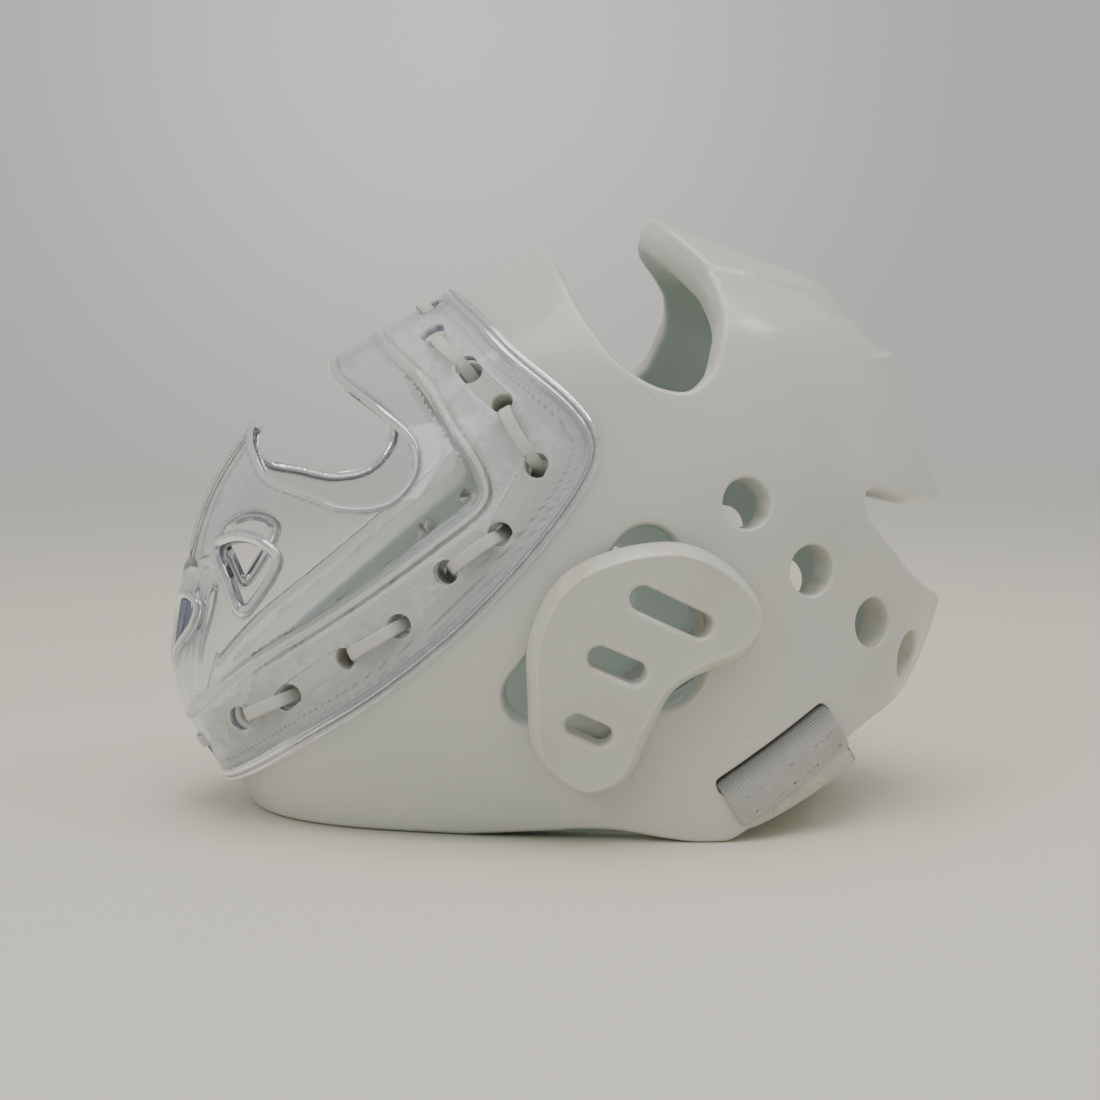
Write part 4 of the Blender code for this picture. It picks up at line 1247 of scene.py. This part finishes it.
def buildLace():
    spots = laceSpots()
    ring = np.vstack([spots, (spots * [-1.0, 1.0])[::-1]])
    count = len(ring)
    middle = (laceTable["over"] + laceTable["under"]) / 2
    knots = []
    for i in range(count):
        here, there = ring[i], ring[(i + 1) % count]
        level = laceTable["under"] if i % 2 == 0 else laceTable["over"]
        way = unit(surface(there)[0] - surface(here)[0])
        for share, lift in laceTable["run"]:
            spot = here + (there - here) * share
            side = np.cross(normals(spot)[0], way)
            if share == 0.0:
                before = unit(surface(here)[0] - surface(ring[i - 1])[0])
                side = unit(side) + unit(np.cross(normals(spot)[0], before))
            place = skin(spot, middle + (level - middle) * lift)[0]
            knots.append(np.concatenate([place, unit(side) * laceTable["sideReach"]]))
    path = throughKnots(knots, 7, closed=True)[:-1]
    places, polygons, along, across = ribbonBody(
        path[:, :3], path[:, 3:], laceTable["width"], laceTable["thick"], laceTable["section"]
    )
    finish = laceFinish("white woven lace")
    lace = makePiece("flat_lace", places, polygons, finish, "white_lace", along=along, across=across)
    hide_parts("lace")
    print("built the lace:", len(lace.data.polygons), "faces")


buildLace()

# Elastics and stitches.

elasticTable = {
    "width": 0.0507,
    "thick": 0.0015,
    "flap": 0.0168,
    "tab": 0.018,
    "rib": 0.00095,
    "ribHeight": 0.00015,
    "rowStep": 0.00019,
    "columns": 40,
    "over": 0.0014,
    "under": -0.0164,
    "stitchBox": (0.0213, 0.0142, 0.0076),  # half length, far row, near row
    "stitchPitch": 0.0030,
    "stitchLength": 0.0019,
    "threadWidth": 0.00050,
    "threadPitch": 0.00062,
    "stitchLift": 0.00012,
    "stitchSteps": 30,
    # Painted shade on the cloth by its slot, where it dives under the foam: from and to past the end,
    # both ways.
    "worn": (-0.0060, 0.0028, 0.006, 0.010),
}


elasticLook = {
    "groove": colour(0.31, 0.31, 0.30),
    "rib": colour(0.53, 0.53, 0.51),
    "thread": (colour(0.30, 0.30, 0.29), 0.22),
    "blotch": (colour(0.62, 0.615, 0.59), 0.18),
    # worn: painted shade near the slot
    "worn": (colour(0.10, 0.10, 0.10), 0.72),
    "ribRamp": (-0.95, -0.1),
    "threadRamp": (0.2, 0.95),
    "blotchNoise": (120.0, 4.0),
    "blotchRamp": (0.45, 0.75),
    "threadBump": (0.5, 0.00012),
    "fuzzNoise": (2400.0, 3.0),
    "fuzzBump": (0.3, 0.00010),
    "cloth": {"Roughness": 0.95, "Specular_IOR_Level": 0.2},
    "stitch": colour(0.42, 0.42, 0.40),
    "stitchDark": colour(0.07, 0.07, 0.07),
    "patchNoise": (330.0,),
    "patchRamp": (0.48, 0.6),
    "twistNoise": (3000.0, 2.0),
    "twistBump": (0.4, 0.00008),
    "stitchRough": 0.7,
}


def elasticFinish(name):
    shop, look = Finish(name), elasticLook
    along, across = shop.field("along"), shop.field("across")
    threads = shop.waves(across * (fullTurn / elasticTable["threadPitch"]))
    rib = shop.waves(along * (fullTurn / elasticTable["rib"]))
    tone = shop.mix(shop.ramp(rib, *look["ribRamp"]), look["groove"], look["rib"])
    tone = shop.laid(tone, shop.ramp(threads, *look["threadRamp"]), *look["thread"])
    blotch = shop.ramp(shop.noise(*look["blotchNoise"]), *look["blotchRamp"])
    tone = shop.laid(tone, blotch, *look["blotch"])
    # Painted shade where the elastic dives into its slot.
    spots = [elasticTable["flap"] + reach for reach in elasticTable["worn"]]
    paintedShade = shop.ramp(along, *spots[:2]) - shop.ramp(along, *spots[2:])
    tone = shop.laid(tone, paintedShade, *look["worn"])
    weave = shop.bump(threads, *look["threadBump"])
    fuzz = shop.bump(shop.noise(*look["fuzzNoise"]), *look["fuzzBump"], weave)
    return shop.paint(Base_Color=tone, Normal=fuzz, **look["cloth"])


def threadFinish(name):
    shop, look = Finish(name), elasticLook
    patchy = shop.ramp(shop.noise(*look["patchNoise"]), *look["patchRamp"])
    tone = shop.mix(patchy, look["stitch"], look["stitchDark"])
    twist = shop.bump(shop.noise(*look["twistNoise"]), *look["twistBump"])
    return shop.paint(Base_Color=tone, Roughness=look["stitchRough"], Normal=twist)


def elasticPath():
    # The elastic's middle line across its slot: across, offset from the skin.
    thick, slot = elasticTable["thick"], shellTable["slot"][1]
    over, under = elasticTable["over"], elasticTable["under"]
    foam, flap, tab = shellTable["thickness"], elasticTable["flap"], elasticTable["tab"]
    wall = thick * 0.75 - slot / 2
    knots = [
        (flap, over),
        (flap * 0.8, over),
        (flap * 0.55, over + thick * 0.1),
        (slot / 2 + thick * 0.4, over),
        (slot * 0.25, over - thick * 0.35),
        (0.0, over - thick * 0.95),
        (-slot * 0.2, over - thick * 2.0),
        (wall + thick * 0.05, -foam * 0.42),
        (wall, -foam * 0.7),
        (wall - thick * 0.2, -foam * 0.97),
        (wall - thick * 1.3, under),
        (-tab * 0.7, under),
        (-tab, under),
    ]
    fine = throughKnots(knots, 25)
    places = np.hstack([fine, np.zeros((len(fine), 1))])
    return evenSteps(fine, elasticTable["rowStep"], False, places)


def strapNet(path, alongs):
    # Points of the strap: one row for each step of the path.
    charts = np.array([[strapSpot(along, across) for along in alongs] for across, _ in path])
    flat = charts.reshape(-1, 2)
    offsets = np.repeat(path[:, 1], len(alongs))
    return skin(flat, offsets).reshape(len(path), len(alongs), 3)


def slabPolygons(count, width, turned):
    # The faces of a thin slab: its two sides, then its long edges and its ends.
    size = count * width
    polygons = []
    for i in range(count - 1):
        for j in range(width - 1):
            a, b = i * width + j, (i + 1) * width + j
            polygons.append((a, a + 1, b + 1, b))
            polygons.append((a + size, b + size, b + 1 + size, a + 1 + size))
        for j in (0, width - 1):
            a, b = i * width + j, (i + 1) * width + j
            if turned and j:
                a, b = b, a
            polygons.append((a, b, b + size, a + size))
    for i in (0, count - 1):
        for j in range(width - 1):
            a = i * width + j
            face = (a + 1, a, a + size, a + 1 + size)
            polygons.append(face[::-1] if turned and i else face)
    return polygons


def buildElastic():
    path = elasticPath()
    columns = elasticTable["columns"]
    turns = np.linspace(-math.pi / 2, math.pi / 2, columns)
    alongs = np.sin(turns) * elasticTable["width"] / 2
    coarse = path[:: max(1, len(path) // 60)]
    coarse = np.vstack([coarse, path[-1:]]) if len(path) % max(1, len(path) // 60) != 1 else coarse
    net = strapNet(coarse, alongs)
    marks = np.concatenate([[0], np.cumsum(np.linalg.norm(np.diff(coarse, axis=0), axis=1))])
    fineMarks = np.linspace(0, marks[-1], len(path))
    rows = np.empty((len(path), columns, 3))
    for j in range(columns):
        for axis in range(3):
            rows[:, j, axis] = np.interp(fineMarks, marks, net[:, j, axis])
    along, across = np.gradient(rows, axis=0), np.gradient(rows, axis=1)
    normal = unit(np.cross(along, across))
    thick = elasticTable["thick"]
    ribs = elasticTable["ribHeight"] * (np.abs(np.cos(math.pi * fineMarks / elasticTable["rib"])) - 0.5)
    ends = smooth(fineMarks, 0.0, 0.0008) * smooth(marks[-1] - fineMarks, 0.0, 0.0008)
    edge = 1 - np.abs(alongs / (elasticTable["width"] / 2)) ** 24
    half = (thick / 2 + ribs[:, None]) * (0.35 + 0.65 * edge[None]) * (0.4 + 0.6 * ends[:, None])
    upper, lower = rows + normal * half[..., None], rows - normal * half[..., None]
    places = np.vstack([upper.reshape(-1, 3), lower.reshape(-1, 3)])
    fields = {"along": np.tile(np.repeat(fineMarks, columns), 2)}
    fields["across"] = np.tile(alongs, 2 * len(path))
    cloth = elasticFinish("ribbed elastic")
    polygons = slabPolygons(len(path), columns, True)
    left = makePiece("elastic_left_strap", places, polygons, cloth, "ribbed_elastic", **fields)
    right = mirrorPiece(left, "elastic_right_strap", cloth, "ribbed_elastic", "along", "across")
    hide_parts("elastic_left")
    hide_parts("elastic_right")
    print("built the elastics:", len(left.data.polygons), "faces each")


def socketName(tree, name):
    for item in tree.interface.items_tree:
        if item.item_type == "SOCKET" and item.in_out == "INPUT" and item.name == name:
            return item.identifier
    return None


def growTree(name, sizes, nodes, links):
    # A geometry node tree: its named sizes, its nodes and their links, each written
    # as the node and socket that it comes from and the node and socket it goes to.
    tree = bpy.data.node_groups.new(name, "GeometryNodeTree")
    tree.interface.new_socket("Geometry", in_out="INPUT", socket_type="NodeSocketGeometry")
    tree.interface.new_socket("Geometry", in_out="OUTPUT", socket_type="NodeSocketGeometry")
    for key, (kind, value) in sizes.items():
        made = tree.interface.new_socket(key, in_out="INPUT", socket_type=kind)
        made.default_value = value
    nodes = {"start": ("NodeGroupInput",), "end": ("NodeGroupOutput",), **nodes}
    grown = {}
    for key, (kind, *changes) in nodes.items():
        grown[key] = tree.nodes.new(kind)
        for setting, value in changes[0].items() if changes else ():
            if setting in grown[key].inputs:
                grown[key].inputs[setting].default_value = value
            else:
                setattr(grown[key], setting, value)
    for giver, output, taker, socket in links:
        tree.links.new(grown[giver].outputs[output], grown[taker].inputs[socket])
    return tree


def bakePiece(name, carrier, tree, values, finish, slot):
    # Runs a node tree on a carrier and keeps the result as a plain mesh.
    modifier = carrier.modifiers.new("grow", "NODES")
    modifier.node_group = tree
    for key, value in values.items():
        modifier[socketName(tree, key)] = value
    graph = bpy.context.evaluated_depsgraph_get()
    graph.update()
    mesh = bpy.data.meshes.new_from_object(carrier.evaluated_get(graph))
    mesh.name = name
    carrier.modifiers.clear()
    bpy.data.objects.remove(carrier, do_unlink=True)
    if not mesh.materials:
        mesh.materials.append(finish)
    return worn(name, mesh, slot)


def stitchTree(finish):
    sizes = {
        "Pitch": ("NodeSocketFloat", elasticTable["stitchPitch"]),
        "Stitch length": ("NodeSocketFloat", elasticTable["stitchLength"]),
        "Thread width": ("NodeSocketFloat", elasticTable["threadWidth"]),
    }
    nodes = {
        "curve": ("GeometryNodeMeshToCurve",),
        "cut": ("GeometryNodeResampleCurve", {"mode": "LENGTH"}),
        "tangent": ("GeometryNodeInputTangent",),
        "turn": ("FunctionNodeAlignRotationToVector", {"axis": "X"}),
        "thread": ("GeometryNodeMeshUVSphere", {"Segments": 10, "Rings": 8, "Radius": 0.5}),
        "size": ("ShaderNodeCombineXYZ",),
        "scale": ("GeometryNodeTransform",),
        "place": ("GeometryNodeInstanceOnPoints",),
        "real": ("GeometryNodeRealizeInstances",),
        "dress": ("GeometryNodeSetMaterial", {"Material": finish}),
    }
    links = (
        ("start", "Geometry", "curve", "Mesh"),
        ("curve", "Curve", "cut", "Curve"),
        ("start", "Pitch", "cut", "Length"),
        ("start", "Stitch length", "size", "X"),
        ("start", "Thread width", "size", "Y"),
        ("start", "Thread width", "size", "Z"),
        ("thread", "Mesh", "scale", "Geometry"),
        ("size", "Vector", "scale", "Scale"),
        ("tangent", "Tangent", "turn", "Vector"),
        ("cut", "Curve", "place", "Points"),
        ("scale", "Geometry", "place", "Instance"),
        ("turn", "Rotation", "place", "Rotation"),
        ("place", "Instances", "real", "Geometry"),
        ("real", "Geometry", "dress", "Geometry"),
        ("dress", "Geometry", "end", "Geometry"),
    )
    return growTree("stitch row", sizes, nodes, links)


def buildStitches():
    finish = threadFinish("stitching thread")
    tree = stitchTree(finish)
    half, far, near = elasticTable["stitchBox"]
    lift = elasticTable["over"] + elasticTable["thick"] / 2 + elasticTable["stitchLift"]
    steps = elasticTable["stitchSteps"]
    corners = [(-half, far), (half, far), (half, near), (-half, near), (-half, far)]
    points, edges = [], []
    for (a0, c0), (a1, c1) in zip(corners[:-1], corners[1:]):
        first = len(points)
        for share in np.linspace(0, 1, steps):
            spot = strapSpot(a0 + (a1 - a0) * share, c0 + (c1 - c0) * share)
            points.append(skin(spot, lift)[0])
        edges += [(first + i, first + i + 1) for i in range(steps - 1)]
    for side, name in ((1.0, "stitches_left"), (-1.0, "stitches_right")):
        mesh = bpy.data.meshes.new("stitch line")
        mesh.from_pydata([tuple(p * [side, 1.0, 1.0]) for p in points], edges, [])
        carrier = added("stitch line", mesh)
        values = {"Pitch": elasticTable["stitchPitch"]}
        bakePiece(name, carrier, tree, values, finish, "ribbed_elastic")
    print("sewed the stitches")


buildElastic()
buildStitches()

# Nape tape.

tapeTable = {
    "thick": 0.0018,
    "sag": 0.0118,
    "start": 0.0155,
    "over": 0.0000,
    "floor": 0.0020,
    "turn": 20,  # how sharply it turns at its two ends
    "rows": 120,
    "columns": 26,
    "loopHeight": 0.0011,
    "loopWidth": 0.0009,
    "loopDensity": 290000.0,
    "seed": 7,
}


tapeLook = {
    "pale": colour(0.60, 0.60, 0.52),
    "cloud": colour(0.52, 0.53, 0.455),
    "deep": colour(0.36, 0.36, 0.31),
    "dot": (colour(0.10, 0.09, 0.08), 0.7),
    "cloudNoise": (90.0, 4.0),
    "cloudRamp": (0.35, 0.7),
    "fluffNoise": (1500.0, 4.0, 0.65),
    "fluffRamp": (0.3, 0.55),
    "fluffShares": (0.7, 0.3),
    "fluffBump": (0.8, 0.0005),
    "dotCells": 330.0,
    "dotRamp": (0.12, 0.17),
    "cloth": {"Roughness": 0.95, "Sheen_Weight": 0.4},
}


def tapeFinish(name):
    shop, look = Finish(name), tapeLook
    cloud = shop.ramp(shop.noise(*look["cloudNoise"]), *look["cloudRamp"])
    tone = shop.mix(cloud, look["pale"], look["cloud"])
    fluff = shop.noise(*look["fluffNoise"])
    least, more = look["fluffShares"]
    tone = shop.mix(least + shop.ramp(fluff, *look["fluffRamp"]) * more, look["deep"], tone)
    dots = 1.0 - shop.ramp(shop.cells(look["dotCells"]), *look["dotRamp"])
    tone = shop.laid(tone, dots, *look["dot"])
    rough = shop.bump(fluff, *look["fluffBump"])
    return shop.paint(Base_Color=tone, Normal=rough, **look["cloth"])


def tapeNet():
    # The tape's middle surface, from one elastic round the nape to the other.
    count, width = tapeTable["rows"], tapeTable["columns"]
    alongs = np.linspace(-0.5, 0.5, width) * elasticTable["width"]
    line = np.array([strapSpot(along, tapeTable["start"]) for along in alongs])
    ends = skin(line, tapeTable["over"])
    turn = math.radians(shellTable["strapAngle"])
    down = np.array([0.0, math.sin(turn), -math.cos(turn)])
    share = np.linspace(0, 1, width)[:, None]
    rows = []
    for stop in np.sin(np.linspace(math.pi / 2, -math.pi / 2, count)):
        sag = tapeTable["sag"] * (1 - abs(stop) ** tapeTable["turn"]) ** 0.5
        place = ends * [stop, 1.0, 1.0] + down * sag * (0.30 + 0.70 * share**0.5)
        place[:, 2:] = np.maximum(place[:, 2:], tapeTable["floor"] * (0.62 + 0.2 * share))
        rows.append(place)
    return np.array(rows)


def loopTree(finish):
    sizes = {
        "Density": ("NodeSocketFloat", tapeTable["loopDensity"]),
        "Loop height": ("NodeSocketFloat", tapeTable["loopHeight"]),
        "Loop width": ("NodeSocketFloat", tapeTable["loopWidth"]),
        "Seed": ("NodeSocketInt", tapeTable["seed"]),
    }
    half = math.pi / 2
    arc = {"Resolution": 6, "Radius": 0.5, "Start Angle": -0.3, "Sweep Angle": math.pi + 0.6}
    ways = {"Min": (-0.5, -0.5, 0.0), "Max": (0.5, 0.5, fullTurn)}
    nodes = {
        "spread": ("GeometryNodeDistributePointsOnFaces",),
        "arc": ("GeometryNodeCurveArc", arc),
        "thread": ("GeometryNodeCurvePrimitiveCircle", {"Resolution": 3, "Radius": 0.05}),
        "sweep": ("GeometryNodeCurveToMesh",),
        "stand": ("GeometryNodeTransform", {"Rotation": (half, 0.0, 0.0)}),
        "size": ("ShaderNodeCombineXYZ",),
        "scale": ("GeometryNodeTransform",),
        "spin": ("FunctionNodeRandomValue", {"data_type": "FLOAT_VECTOR", **ways}),
        "turn": ("FunctionNodeRotateRotation", {"rotation_space": "LOCAL"}),
        "place": ("GeometryNodeInstanceOnPoints",),
        "real": ("GeometryNodeRealizeInstances",),
        "join": ("GeometryNodeJoinGeometry",),
        "dress": ("GeometryNodeSetMaterial", {"Material": finish}),
    }
    links = (
        ("start", "Geometry", "spread", "Mesh"),
        ("start", "Density", "spread", "Density"),
        ("start", "Seed", "spread", "Seed"),
        ("arc", "Curve", "sweep", "Curve"),
        ("thread", "Curve", "sweep", "Profile Curve"),
        ("sweep", "Mesh", "stand", "Geometry"),
        ("stand", "Geometry", "scale", "Geometry"),
        ("start", "Loop width", "size", "X"),
        ("start", "Loop width", "size", "Y"),
        ("start", "Loop height", "size", "Z"),
        ("size", "Vector", "scale", "Scale"),
        ("spread", "Rotation", "turn", "Rotation"),
        ("spin", "Value", "turn", "Rotate By"),
        ("spread", "Points", "place", "Points"),
        ("scale", "Geometry", "place", "Instance"),
        ("turn", "Rotation", "place", "Rotation"),
        ("place", "Instances", "real", "Geometry"),
        ("start", "Geometry", "join", "Geometry"),
        ("real", "Geometry", "join", "Geometry"),
        ("join", "Geometry", "dress", "Geometry"),
        ("dress", "Geometry", "end", "Geometry"),
    )
    return growTree("loop pile", sizes, nodes, links)


def buildTape():
    net = tapeNet()
    count, width = net.shape[:2]
    normal = unit(np.cross(np.gradient(net, axis=0), np.gradient(net, axis=1)))
    edge = 1 - np.abs(np.linspace(-1, 1, width)) ** 16
    half = tapeTable["thick"] / 2 * (0.4 + 0.6 * edge)[None, :, None]
    places = np.vstack([(net + normal * half).reshape(-1, 3), (net - normal * half).reshape(-1, 3)])
    finish = tapeFinish("loop tape")
    polygons = slabPolygons(count, width, False)
    base = makePiece("tape band", places, polygons, finish, "loop_tape")
    tree = loopTree(finish)
    values = {"Density": tapeTable["loopDensity"], "Seed": tapeTable["seed"]}
    tape = bakePiece("nape_loop_tape", base, tree, values, finish, "loop_tape")
    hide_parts("nape_tape")
    print("built the tape:", len(tape.data.polygons), "faces")


buildTape()

# Stage, camera.

stageLook = {
    "floorRadius": 3.0,
    "fade": (0.55, 1.7),
    "floorColour": colour(0.735, 0.71, 0.605),
    # The painted shadow on the floor under the foam.
    "paintedShadowScale": (13.2, 10.0, 0.0),
    "paintedShadowShift": (0.0, 0.09, 0.0),
    "paintedShadowFade": (0.86, 1.22),
    "paintedShadowShare": 0.8,
    "paintedShadowColour": colour(0.19, 0.235, 0.18),
    "glowPlace": (-1.5, 0.08, 0.44),
    "glowReach": (0.0, 0.60),
    "glow": colour(1.02, 1.00, 0.94),
    "glowShare": 0.6,
    "world": (0.525, 0.515, 0.49, 1.0),
    "worldPower": 1.0,
}


def disc(name, radius):
    mesh = bpy.data.meshes.new(name)
    body = bmesh.new()
    bmesh.ops.create_circle(body, cap_ends=True, radius=radius, segments=96)
    body.to_mesh(mesh)
    body.free()
    thing = added(name, mesh)
    shop = Finish("pale " + name)
    mesh.materials.append(shop.material)
    length = shop.node("ShaderNodeVectorMath", {"operation": "LENGTH"}, {0: shop.place}, "Value")
    return thing, shop, length


def buildStage():
    _, shop, length = disc("floor", stageLook["floorRadius"])
    veil = 1.0 - shop.ramp(length, *stageLook["fade"])
    # Painted greenish shadow on the floor right under the foam.
    sockets = {0: shop.place, 1: stageLook["paintedShadowScale"], 2: stageLook["paintedShadowShift"]}
    under = shop.node("ShaderNodeVectorMath", {"operation": "MULTIPLY_ADD"}, sockets)
    under = shop.node("ShaderNodeVectorMath", {"operation": "LENGTH"}, {0: under}, "Value")
    under = (1.0 - shop.ramp(under, *stageLook["paintedShadowFade"])) * stageLook["paintedShadowShare"]
    tone = shop.mix(under, stageLook["floorColour"], stageLook["paintedShadowColour"])
    shop.paint(Base_Color=tone, Roughness=0.75, Alpha=veil)
    # The light patch on the wall behind.
    glow, shop, length = disc("wall glow", stageLook["glowReach"][1])
    glow.location = stageLook["glowPlace"]
    glow.rotation_euler = (0.0, math.pi / 2, 0.0)
    veil = (1.0 - shop.ramp(length, *stageLook["glowReach"])) * stageLook["glowShare"]
    shop.paint(
        Base_Color=colour(0.0, 0.0, 0.0),
        Roughness=1.0,
        Specular_IOR_Level=0.0,
        Emission_Color=stageLook["glow"],
        Emission_Strength=1.0,
        Alpha=veil,
    )
    world = bpy.data.worlds.new("soft studio")
    world.use_nodes = True
    sky = world.node_tree.nodes["Background"]
    sky.inputs["Color"].default_value = stageLook["world"]
    sky.inputs["Strength"].default_value = stageLook["worldPower"]
    bpy.context.scene.world = world


lamps = (
    # name, place, aim, size, power, colour
    ("overhead", (0.1, 0.1, 1.3), (0.0, 0.0, 0.0), 1.1, 10.5, (1.0, 0.985, 0.96)),
    ("window", (0.9, -1.2, 1.0), (0.0, 0.0, 0.1), 0.7, 5.4, (0.97, 0.985, 1.0)),
    ("strip", (0.25, 0.85, 1.15), (0.0, 0.05, 0.1), 0.22, 1.6, (1.0, 1.0, 1.0)),
)


def aimAt(thing, target):
    way = Vector(target) - thing.location
    thing.rotation_euler = way.to_track_quat("-Z", "Y").to_euler()


def buildLights():
    for name, place, target, size, power, tint in lamps:
        light = bpy.data.lights.new(name, "AREA")
        light.size, light.energy, light.color = size, power, tint
        thing = added(name, light)
        thing.location = place
        aimAt(thing, target)


cameraPlace = {
    "eye": (0.9351, -0.12349, 0.2157),
    "target": (0.0, -0.00394, 0.0986),
    "lens": 77.73,
    "sensor": 36.0,
}


def buildCamera():
    data = bpy.data.cameras.new("camera")
    data.lens, data.sensor_width = cameraPlace["lens"], cameraPlace["sensor"]
    camera = added("camera", data)
    camera.location = cameraPlace["eye"]
    aimAt(camera, cameraPlace["target"])
    bpy.context.scene.camera = camera


buildStage()
buildLights()
buildCamera()
